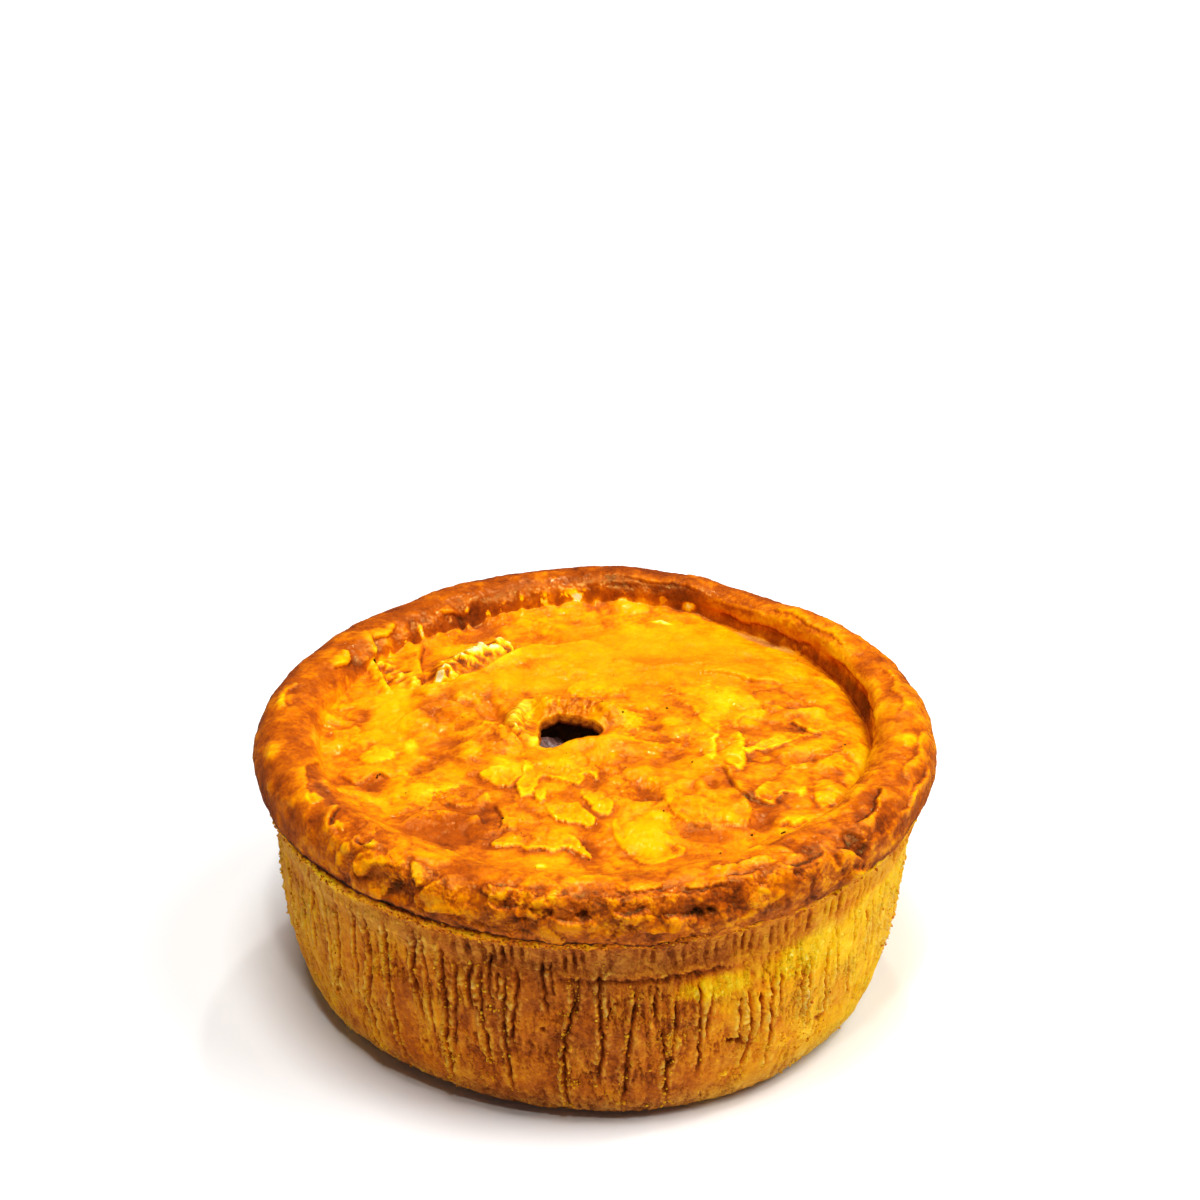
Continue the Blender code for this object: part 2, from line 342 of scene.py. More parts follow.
rimSection = {
    "centreRadius": 54.2,
    "centreHeight": 44.4,
    "halfWidth": 5.8,
    "halfHeight": 5.6,
    "square": 2.25,  # 2 is a true oval, more is boxier
    "rows": 84,
    # where the roll starts, inside, and ends, outside: degrees up from level, seen from the front section
    "startsAt": [(-170, 164), (-150, 150), (-130, 132), (-110, 126), (-80, 126), (-62, 132), (-48, 152), (-34, 174),
                 (-10, 184), (15, 188), (40, 182), (58, 174), (75, 167), (95, 160), (120, 160), (150, 164)],
    "endsAt": [(-174, -40), (-160, -28), (-130, -27), (-112, -33), (-98, -40), (-84, -46), (-68, -58), (0, -62),
               (90, -60), (150, -54)],
    # how much further out, or in, the rim lies than a true circle
    "reach": [(-178, -0.5), (-155, -0.1), (-90, 0.0), (-10, 0.0), (18, -0.6), (35, -1.6), (55, -2.2), (75, -1.2), (92, -0.9),
              (108, -1.6), (130, -2.3), (150, -1.8)],
    # how much further out the inner slope stands, which narrows the rim
    "narrowed": [(-170, 0.0), (-20, 0.0), (0, 0.6), (18, 1.6), (36, 2.8), (62, 2.8), (82, 1.4), (100, 0.4), (130, 0.0)],
    "crest": [(-150, -0.1), (-90, 0.0), (-45, 0.0), (0, 0.1), (44, 0.1), (51, -0.55), (64, -0.6), (68, 0.0),
              (90, 0.15), (97, -0.2), (130, -0.3), (160, -0.1)],
}

lidShape = {
    "rings": 184,  # an eighth of the columns
    "splitRing": 130,  # the lid is made as two pieces that meet at this ring
    "holeRing": 23,
    "crown": 47.3,
    "edgeHeight": 45.7,
    "edgeRadius": 46.0,
    # width of the slope from the lid down, or up, to where the rim's roll starts
    "slopeWidth": [(-170, 4.0), (-150, 7.0), (-130, 10.0), (-90, 11.0), (-65, 10.0), (-48, 6.0), (-30, 3.8), (25, 4.4),
                   (36, 7.0), (55, 8.0), (70, 7.0), (95, 6.0), (130, 4.5)],
}

steamHole = {
    "centre": (-4.2, -0.9),
    # outline of the opening: direction in degrees, distance from the centre
    "outline": [(-180, 5.5), (-160, 6.0), (-140, 6.9), (-122, 5.8), (-90, 4.3), (-50, 4.0), (-15, 5.4), (4, 5.9), (25, 4.9),
                (51, 4.0), (90, 4.1), (122, 5.2), (147, 6.3), (165, 5.8)],
    "floor": 39.5,
    "wallRows": 18,
    "crust": 1.7,
}


def rimPoint(degrees, section):
    # a point of the rim's oval section: section is degrees up from level at the outer side, 180 the inner side
    radians = np.radians(section)
    power = 2 / rimSection["square"]
    levelPart = np.sign(np.cos(radians)) * np.abs(np.cos(radians)) ** power
    uprightPart = np.sign(np.sin(radians)) * np.abs(np.sin(radians)) ** power
    radius = rimSection["centreRadius"] + rimSection["halfWidth"] * levelPart + around(degrees, rimSection["reach"])
    radius = radius + around(degrees, rimSection["narrowed"]) * ease((section - 95) / 70)
    height = rimSection["centreHeight"] + rimSection["halfHeight"] * uprightPart
    top = ease((height - 40) / 8)
    height = height + around(degrees, rimSection["crest"]) * top
    return radius, height


def ringAngles(ring):
    # evenly spaced directions of one ring of a square grid wrapped into a disc, in degrees
    return -135 + 360 * np.arange(8 * ring) / (8 * ring)


def discFaces(firstRing, lastRing):
    # the squares between rings of a square grid whose k-th square ring has become the k-th circle
    side = np.arange(-lastRing, lastRing + 1)
    column, row = np.meshgrid(side, side, indexing="ij")
    ring = np.maximum(np.abs(column), np.abs(row))
    safe = np.maximum(ring, 1)
    place = np.where(row == -ring, column + ring,
                     np.where(column == ring, 2 * ring + row + ring,
                              np.where(row == ring, 4 * ring + ring - column, 6 * ring + ring - row)))
    before = 4 * safe * (safe - 1) - 4 * firstRing * (firstRing - 1)
    index = before + place % (8 * safe)
    corners = np.stack([index[:-1, :-1], index[1:, :-1], index[1:, 1:], index[:-1, 1:]], axis=-1).reshape(-1, 4)
    keep = np.minimum(np.minimum(ring[:-1, :-1], ring[1:, :-1]), np.minimum(ring[1:, 1:], ring[:-1, 1:])) >= firstRing
    return corners[keep.ravel()]


def makeTopSkin():
    # lid: rings from the hole's outline to the foot of the rim, on a low dome; then the rim's rows
    low, high = lidShape["holeRing"], lidShape["rings"]
    degrees = np.concatenate([ringAngles(ring) for ring in range(low, high + 1)])
    share = np.concatenate([np.full(8 * ring, (ring - low) / (high - low)) for ring in range(low, high + 1)])
    cosine, sine = np.cos(np.radians(degrees)), np.sin(np.radians(degrees))
    start = around(degrees, rimSection["startsAt"])
    edgeRadius, edgeHeight = rimPoint(degrees, start)
    holeRadius = around(degrees, steamHole["outline"])
    holeX = steamHole["centre"][0] + holeRadius * cosine
    holeY = steamHole["centre"][1] + holeRadius * sine
    x = holeX + (edgeRadius * cosine - holeX) * share
    y = holeY + (edgeRadius * sine - holeY) * share
    radius = np.hypot(x, y)
    facing = np.degrees(np.arctan2(y, x))
    footRadius, footHeight = rimPoint(facing, around(facing, rimSection["startsAt"]))
    fall = (lidShape["crown"] - lidShape["edgeHeight"]) / lidShape["edgeRadius"] ** 2
    dome = lidShape["crown"] - fall * radius**2
    width = around(facing, lidShape["slopeWidth"])
    down = np.clip((radius - footRadius + width) / width, 0, 1) ** 2
    z = dome + (footHeight - dome) * down
    lidBase = np.stack([x, y, z], axis=1)
    lidOut = np.tile([0.0, 0.0, 1.0], (len(x), 1))

    rimDegrees = np.tile(ringAngles(high), rimSection["rows"])
    rimShare = np.repeat(np.linspace(0, 1, rimSection["rows"]), columns)
    first, last = around(rimDegrees, rimSection["startsAt"]), around(rimDegrees, rimSection["endsAt"])
    section = first + (last - first) * rimShare
    rimRadius, rimHeight = rimPoint(rimDegrees, section)
    rimCos, rimSin = np.cos(np.radians(rimDegrees)), np.sin(np.radians(rimDegrees))
    rimBase = np.stack([rimRadius * rimCos, rimRadius * rimSin, rimHeight], axis=1)
    levelOut = np.cos(np.radians(section))
    upOut = np.sin(np.radians(section))
    turned = np.stack([levelOut * rimCos, levelOut * rimSin, upOut], axis=1)
    # near the lid the rim swells straight up, as the lid does, so that the two stay one surface
    settle = ease((first - section) / 28)[:, None]
    rimOut = turned * settle + np.array([0.0, 0.0, 1.0]) * (1 - settle)
    rimOut /= np.linalg.norm(rimOut, axis=1, keepdims=True)

    skin = makeSkin(np.concatenate([lidBase, rimBase]), np.concatenate([lidOut, rimOut]))
    skin["lidCount"] = len(lidBase)
    skin["facing"] = np.concatenate([facing, rimDegrees])
    lidSection = 180 + (footRadius - radius) / 0.0995
    skin["section"] = np.concatenate([lidSection, section])
    skin["radius"] = np.hypot(skin["base"][:, 0], skin["base"][:, 1])
    return skin


print("shaping the lid and the rim")
topSkin = makeTopSkin()
lidPlan = makePlan(topSkin, topSkin["base"][:, 0], topSkin["base"][:, 1])
degreeLength = 0.946  # mm of rim to a degree round the pie
sectionLength = 0.0995  # mm to a degree of the rim's section
rimPlan = makePlan(topSkin, topSkin["facing"] * degreeLength, -topSkin["section"] * sectionLength, 360 * degreeLength)


def onRim(line):
    # turns (degrees round, degrees of section) into the rim plan's lengths
    return [(degrees * degreeLength, -section * sectionLength) for degrees, section in line]


def broadShade(skin):
    # the lid is golden and the rim browner; the browning starts further out at the front
    section = skin["section"]
    edge = around(skin["facing"], [(-170, 150), (-150, 120), (-130, 100), (-110, 78), (-80, 72), (-60, 80),
                                   (-40, 95), (-20, 120), (0, 150), (40, 165), (90, 172), (130, 175), (160, 165)])
    deep = around(skin["facing"], [(-170, 0.17), (-120, 0.12), (-90, 0.13), (-60, 0.19), (-30, 0.13), (0, 0.05),
                                   (45, 0.05), (80, 0.30), (105, 0.28), (135, 0.22), (160, 0.18)])
    rim = ease((edge - section + 14 * cloud(skin["base"], 6.0, 301, 3)) / 24)
    skin["bake"] += 0.51 + deep * rim
    # the rim's underside is painted a little darker, as shade under it, and made less glossy
    under = ease((-2 - section) / 26)
    skin["bake"] += 0.10 * under
    skin["gloss"] += 0.55 - 0.5 * under
    return rim


rimShare = broadShade(topSkin)
base = topSkin["base"]
torn = topSkin["torn"]
facing = topSkin["facing"]
lidShare = 1 - rimShare
# how crumbly and flaky the rim is: most at the front, smooth and satin at the left and the back
crumbly = rimShare * around(facing, [(-165, 0.10), (-145, 0.25), (-125, 0.7), (-100, 1.0), (-60, 1.0), (-38, 0.7), (-15, 0.35),
                                     (20, 0.35), (45, 0.55), (70, 0.25), (100, 0.12), (140, 0.1), (175, 0.05)])

crumbly *= 0.3 + 0.7 * ease((74 + 10 * torn[:, 0] - topSkin["section"]) / 34)  # and most of all on its lower half

# soft lumps first; the raised places are painted paler and the dips darker, as light and shade on them
swell = cloud(base, 20.0, 21, 2)
dent = cloud(base, 5.0, 31, 3)
topSkin["lift"] += (0.45 - 0.1 * rimShare) * swell + (0.27 + 0.06 * crumbly) * dent
flow = base + 2.2 * topSkin["wavy"][:, :1] * (1, 0, 0) + 1.0 * torn[:, 1:] * (0, 1, 0)
topSkin["bake"] += 0.13 * cloud(flow, 12.0, 41, 3) + 0.05 * cloud(flow, 4.6, 45, 4, 0.6) - 0.14 * dent - 0.06 * swell
marble = cloud(flow + 1.5 * torn[:, 1:] * (1, 0, 0), 7.0, 47, 4, 0.6)
topSkin["bake"] += 0.07 * (ease((marble - 0.02) / 0.10) - 0.5)
fineMarble = cloud(base + 0.8 * torn[:, :1] * (1, 0, 1) + 0.8 * torn[:, 1:] * (0, 1, 0), 3.0, 48, 4, 0.65)
topSkin["bake"] += 0.045 * (ease((fineMarble - 0.12) / 0.06) - 0.3 - 0.8 * ease((-fineMarble - 0.22) / 0.06))
topSkin["lift"] -= 0.5 * lidShare
# short pale fibres in the dough, drawn out across the lid
fibre = ripple(flow * (0.3, 1.0, 1.0) + 0.6 * torn[:, :1] * (0, 1, 0), 1.1, 49)
fibreZone = np.clip(0.5 + 1.2 * cloud(base, 7.0, 50, 2), 0, 1)
topSkin["bake"] -= 0.07 * fibreZone * (ease((fibre - 0.2) / 0.2) - 0.2)
topSkin["lift"] += 0.06 * fibreZone * fibre

# soft folds, as in melted wax: rounded swellings that meet in narrow creases; the creases are painted darker and the
# swellings' tops paler, as shade and light
folded = np.abs(cloud(flow, 9.0, 35, 4, 0.5))
farLid = hump(np.hypot((base[:, 0] - 10) / 30, (base[:, 1] - 36) / 15))
foldZone = lidShare * np.clip(0.75 + 0.9 * cloud(base, 16.0, 37, 1) - 0.6 * farLid, 0.1, 1.2)
topSkin["lift"] += 0.95 * foldZone * np.minimum(folded, 0.55) ** 0.8
topSkin["bake"] += foldZone * (0.13 * (1 - ease(folded / 0.13)) - 0.08 * ease((folded - 0.2) / 0.3))

# then flakes of dough lying over each other, in three sizes, with torn edges; each lip is painted paler, partly a
# highlight, and the foot below it darker, as painted shade
warped = base + 1.4 * torn[:, :1] * (1, 0, 0.4) + 1.4 * torn[:, 1:] * (0, 1, 0.4)
flakiness = np.clip(0.42 + 0.8 * cloud(base, 13.0, 51, 2), 0.05, 1.1)
leftLid = hump(np.hypot((base[:, 0] + 42) / 9, (base[:, 1] - 6) / 26))
flakiness *= 1 - 0.8 * ease(np.maximum(leftLid, farLid) * 2.5) * lidShare
flakiness = flakiness * lidShare + np.clip(0.1 + crumbly, 0, 1) * rimShare
height, edge = plates(warped, 7.5, 61)
topSkin["lift"] += 0.50 * height * flakiness
topSkin["bake"] += flakiness * (-0.18 * np.clip(edge, 0, 1) - 0.20 * np.clip(edge, -1, 0) - 0.12 * (height - 0.5))
height, edge = plates(warped + (1, 2, 3), 4.4, 63)
topSkin["lift"] += 0.36 * (height - 0.4) * crumbly
topSkin["bake"] += crumbly * (-0.06 * np.clip(edge, 0, 1) - 0.16 * np.clip(edge, -1, 0) - 0.10 * (height - 0.5))
height, edge = plates(warped + (3, 5, 7), 3.4, 65)
fineFlakes = np.clip(flakiness * (0.25 + 1.2 * cloud(base, 9.0, 67, 2)) + 0.25 * crumbly, 0, 1)
topSkin["lift"] += 0.30 * height * fineFlakes
topSkin["bake"] += fineFlakes * (-0.20 * np.clip(edge, 0, 1) - 0.22 * np.clip(edge, -1, 0) - 0.12 * (height - 0.5))
height, edge = plates(base + 0.5 * torn[:, :1] + (9, 2, 4), 1.5, 69)
tinyFlakes = np.clip(1.3 * ripple(base, 6.0, 68) + 0.2 * crumbly - 0.1, 0, 1) * (0.35 + 0.65 * flakiness)
topSkin["lift"] += 0.13 * height * tinyFlakes
topSkin["bake"] += tinyFlakes * (-0.14 * np.clip(edge, 0, 1) - 0.16 * np.clip(edge, -1, 0))
topSkin["flaky"] = np.clip(0.15 + 0.5 * fineFlakes + 0.6 * tinyFlakes + 0.3 * crumbly, 0, 1)

# creases between small swellings, painted darker as shade in them, and fine grain
wrinkle = np.abs(cloud(base, 3.6, 71, 4, 0.6))
creased = np.clip(0.5 + cloud(base, 8.0, 73, 2), 0, 1)
topSkin["lift"] += (0.13 + 0.04 * crumbly) * np.minimum(wrinkle, 0.5) / 0.5
topSkin["bake"] += (0.09 + 0.03 * crumbly) * (1 - ease(wrinkle / 0.09)) * creased
grain = ripple(base, 0.7, 75)
topSkin["lift"] += (0.015 + 0.02 * crumbly) * grain
topSkin["bake"] += (0.02 + 0.03 * crumbly) * grain

# browned crumbly places on the rim, darkest low down at the front
scorch = cloud(base, 4.2, 81, 4, 0.62)
scorchZone = rimShare * around(facing, [(-170, 0.3), (-140, 0.5), (-120, 0.8), (-95, 1.0), (-70, 1.0), (-40, 0.8), (-10, 0.3),
                                        (40, 0.3), (80, 0.5), (130, 0.4)])
topSkin["bake"] += scorchZone * (0.16 * ease((scorch - 0.1) / 0.22) - 0.12 * ease((-scorch - 0.05) / 0.2))
topSkin["lift"] -= 0.22 * crumbly * ease((scorch - 0.15) / 0.3)

# egg wash lies in uneven pools: shiny where thick, dull where it was missed
pool = cloud(base + (5, 1, 2), 3.0, 85, 4, 0.6)
topSkin["gloss"] += 1.3 * pool

lidPatches = [
    # place, half size, turn, edge, rag, then lift, bake, dry, gloss
    ((4, 32), (40, 20), 0, 0.8, 1.0, 0.0, -0.11, 0, 0),
    ((28, -24), (16, 12), -20, 0.8, 1.0, 0.0, 0.06, 0, 0),
    ((-4, -38), (22, 8), 0, 0.8, 1.0, 0.0, 0.04, 0, 0),
    ((-36, 6), (12, 22), 0, 0.8, 1.0, 0.0, -0.05, 0, 0),
    ((14, 36), (22, 8), 0, 1.0, 1.0, 0.3, -0.12, 0, 0),
    ((12, 26), (9, 3.4), 0, 0.6, 0.8, -0.1, 0.17, 0, 0.1),
    ((-9, 34), (3.6, 8), 10, 0.9, 0.8, -0.7, 0.14, 0, 0.1),
    ((-4, 42), (10, 2.6), 0, 1.0, 0.8, -0.2, 0.08, 0, 0),
    ((-23, 38), (6, 8), -35, 0.7, 0.8, -0.9, 0.14, 0, 0.3),
    ((10, 16), (8, 6), 20, 1.0, 1.0, -0.3, 0.13, 0, 0.1),
    ((-21, 12), (9, 4), 25, 1.0, 0.8, 0.1, 0.10, 0, 0),
    ((13, -8), (6, 9), 0, 1.0, 0.8, -0.3, 0.15, 0, 0.2),
    ((9, -21), (4.6, 6), 0, 0.9, 0.8, -0.8, 0.26, 0, 0.3),
    ((-38, -18), (5, 5), 0, 0.9, 0.8, -0.2, 0.18, 0, 0.1),
    ((-29, -11), (2.6, 8), -28, 0.8, 0.7, -0.5, 0.20, 0, 0.1),
    ((-40.2, 8), (1.8, 3.4), -20, 0.8, 0.6, -0.3, 0.18, 0, 0),
    ((-18.0, 5), (3.2, 6.0), 15, 0.7, 0.3, -1.0, 0.24, 0, 0.5),
    ((-25.6, -32.6), (8.6, 5.4), -8, 0.6, 0.2, -0.4, 0.30, 0, -0.1),
    ((-25, -37), (6, 4), 0, 0.8, 0.8, -0.2, 0.2, 0, 0.1),
    ((19, -33.6), (5.2, 3.0), -6, 0.5, 0.3, -0.4, 0.20, 0, 0.3),
    ((36, 4), (7, 4.6), 0, 0.6, 0.8, -0.4, 0.16, 0, 0.2),
    ((42, -14), (4, 7), 0, 0.9, 0.8, -0.2, 0.12, 0, 0.1),
    ((29, -30), (3.6, 4.0), 0, 0.8, 0.6, -0.6, 0.18, 0, 0.1),
    ((34, -9), (7, 2.2), 10, 0.9, 0.6, -0.4, 0.14, 0, 0.1),
    ((-35.3, 11), (3, 6), 0, 0.9, 0.6, 0.3, -0.20, 0, 0),
    ((-44, -1), (3, 4), 0, 0.9, 0.6, 0.2, -0.16, 0, 0),
    ((-49, -5), (1.0, 4.5), 5, 0.9, 0.2, 0.2, -0.24, 0.1, 0.2),
    ((-37.7, -7), (3.2, 4), 0, 0.5, 0.6, 0.4, -0.20, 0, 0),
    ((-32.3, -5), (1.6, 3.6), 0, 0.7, 0.5, 0.4, -0.20, 0, 0),
    ((-22, -8), (3.0, 6), 10, 0.9, 0.5, 0.6, -0.16, 0, 0),
    ((-17, -12), (2.6, 5), -10, 0.9, 0.5, 0.5, -0.16, 0, 0),
    ((-16, 17), (3.4, 4.5), 0, 0.9, 0.6, 0.3, -0.22, 0, 0),
    ((-2, 22), (10, 5), 0, 1.0, 0.6, 0.5, -0.10, 0, 0),
    ((24, 12), (8, 6), 0, 1.0, 0.6, 0.4, -0.14, 0, 0),
    ((47, -6), (2.6, 12), 0, 0.9, 0.5, 0.2, -0.18, 0, 0),
    ((27, 27), (5, 2.6), 0, 0.8, 0.6, -0.1, 0.12, 0, 0),
    ((9.0, -35.4), (6.0, 8.2), 12, 0.9, 0.4, 0.6, -0.12, 0, 0.1),
    ((16.6, -19.6), (2.0, 3.2), -10, 0.8, 0.4, -0.9, 0.22, 0, 0.2),
    ((20.4, -18), (1.8, 2.8), 10, 0.8, 0.4, -0.7, 0.18, 0, 0.2),
    ((22, -28), (4.0, 2.4), -15, 0.8, 0.4, 0.1, -0.14, 0, 0),
    # the next three pale spots on the ribbed roll are painted glints
    ((-27.8, 18.8), (1.3, 1.5), 0, 0.6, 0.4, 0.4, -0.9, 0, 0.4),
    ((-20.8, 26.4), (3.0, 1.3), 42, 0.7, 0.5, 0.3, -0.8, 0, 0.4),
    ((-18.2, 27.6), (1.6, 0.9), 42, 0.7, 0.4, 0.2, -0.7, 0, 0.4),
    # the next three pale spots are painted glints: at the curl's tip by the hole, on the front of the lid and at its
    # back
    ((-10.4, -4.2), (1.3, 2.4), -25, 0.8, 0.3, 0.1, -0.5, 0, 0.4),
    ((-8.6, -44.4), (1.5, 1.1), 30, 1.0, 0.9, 0.2, -0.55, 0, 0.4),
    ((12.2, 41.4), (2.6, 0.8), -15, 0.7, 0.6, 0.2, -0.6, 0, 0.4),
]
for at, size, turn, edgeShare, rag, lift, bake, dry, gloss in lidPatches:
    addSpot(lidPlan, at, size, turn, edgeShare, rag, lift=lift, bake=bake, dry=dry, gloss=gloss)

# the lip round the steam hole: swollen, brown and blistered behind, a pale ruffled curl on the left,
# smooth and golden in front
addRidge(lidPlan, [(-13.0, 6.0), (-10.5, 7.2), (-6, 6.8), (-1.5, 6.0), (2.6, 4.0), (4.4, -0.4)], 2.0, 2.4, 0.5,
         bake=0.02, gloss=0.3, flaky=0.5)
addRidge(lidPlan, [(-11, 5.4), (-7.5, 5.8), (-3, 5.4), (0.8, 4.0), (3.4, 0.4)], 0.9, 2.6, 0.6, bake=0.03, gloss=0.9, flaky=0.1)
addRidge(lidPlan, [(-10.2, 8.6), (-12.8, 6.8), (-14.4, 3.6), (-14.0, 0.4), (-12.4, -2.6), (-10.2, -5.2)], 1.3, 1.3, 0.4,
         bake=-0.22, dry=0.1, gloss=0.5, flaky=0.5)
addRidge(lidPlan, [(-5.4, -6.2), (-2.0, -5.4), (1.6, -4.8), (5.0, -6.4), (6.4, -9)], 0.9, 1.8, 0.2, bake=-0.06)
addRidge(lidPlan, [(-14, -9.4), (-9, -10), (-3, -9.4), (2, -10)], 0.35, 2.2, 0.4, bake=-0.06)
addSpot(lidPlan, (-8.4, -6.0), (2.8, 2.0), 0, 1.0, 0.2, lift=-0.6)
addSpot(lidPlan, (6.2, 2.4), (4.4, 5.0), 0, 0.8, 0.9, lift=0.5, bake=-0.16, gloss=0.4, flaky=0.5)
leftCurl = np.exp(-(((base[:, 0] + 13.2) / 2.0) ** 2 + ((base[:, 1] - 1.6) / 5.4) ** 2))
curlRib = ripple(np.stack([(base[:, 0] + base[:, 1] + 0.8 * torn[:, 0]) / 0.62, (base[:, 0] - base[:, 1]) / 2.4, 0 * leftCurl],
                          axis=1), 1.0, 643)
topSkin["lift"] += 0.34 * leftCurl * curlRib
topSkin["bake"] -= leftCurl * (0.75 * np.clip(curlRib, 0, 1) - 0.75 * np.clip(-curlRib, 0, 1) - 0.06)
# sugary grains on the swollen lip; the palest of them are painted glints
lipZone = hump(np.hypot((base[:, 0] + 4.6) / 11.5, (base[:, 1] - 5.6) / 4.6)) + 0.7 * leftCurl
gap, owner = scatter(base, 0.75, 647)
lipGrainGlints = np.clip(1.6 * lipZone, 0, 1) * ease(1.15 - gap / (0.35 + 0.3 * owner))
topSkin["lift"] += 0.07 * lipGrainGlints
topSkin["bake"] += lipGrainGlints * (0.02 - 0.3 * (owner > 0.7))
topSkin["gloss"] += 0.8 * lipGrainGlints

lidFolds = [
    # line, lift, reach, rag, pale, dark
    ([(-19.2, -31.6), (-19.4, -28.8), (-22.4, -27.4), (-26, -26.4), (-30, -27.4), (-33, -31.2)], 0.35, 4.0, 0.15, -0.05, 0.2),
    ([(-11.5, -7), (-14, -4), (-18, 2), (-22.5, 6.6), (-27.5, 8.2), (-32, 5.4), (-36, 1.6)], 1.3, 7, 0.15, -0.04, 0.16),
    ([(3, 33), (-5, 31), (-12, 29), (-15.5, 25), (-20, 20), (-24, 16.8), (-28, 14.8), (-35, 14.6)], 1.4, 8, 0.25, -0.08, 0.30),
    ([(-31.2, 15.8), (-31, 20), (-32, 26), (-31.6, 33)], 1.2, 3, 0.5, -0.12, 0.28),
    ([(-36, 14.5), (-37.6, 18), (-39.6, 24), (-41.5, 30)], 1.1, 2.2, 0.5, -0.25, 0.35),
    ([(41.8, 8.0), (39, 9), (36, 8.2), (33, 8.6), (29.6, 9.8)], 0.6, 3.0, 0.4, -0.14, 0.30),
    ([(34.6, 4.8), (36.6, 3.2), (38.4, 1.0), (40.4, 0.8)], 0.5, 2.0, 0.3, -0.2, 0.3),
    ([(22.6, -12), (23.4, -15), (25, -19.8), (27.8, -23.0)], 0.7, 4.0, 0.3, -0.10, 0.24),
    ([(31.6, -31), (33, -29.6), (34.2, -31), (36.6, -28)], 0.7, 2.4, 0.5, -0.2, 0.24),
    ([(-17, -24), (-15.4, -29), (-15.8, -33)], 0.4, 3.4, 0.4, -0.06, 0.18),
    ([(18, 22), (24, 21), (29, 18.6), (34, 18)], 0.5, 4.0, 0.6, -0.10, 0.14),
    ([(-44, -13), (-41, -16.6), (-38, -13.6), (-35, -15.6)], 0.5, 3.4, 0.5, -0.12, 0.14),
]
for line, lift, reach, rag, pale, dark in lidFolds:
    addFold(lidPlan, line, lift, reach, rag, pale, dark)

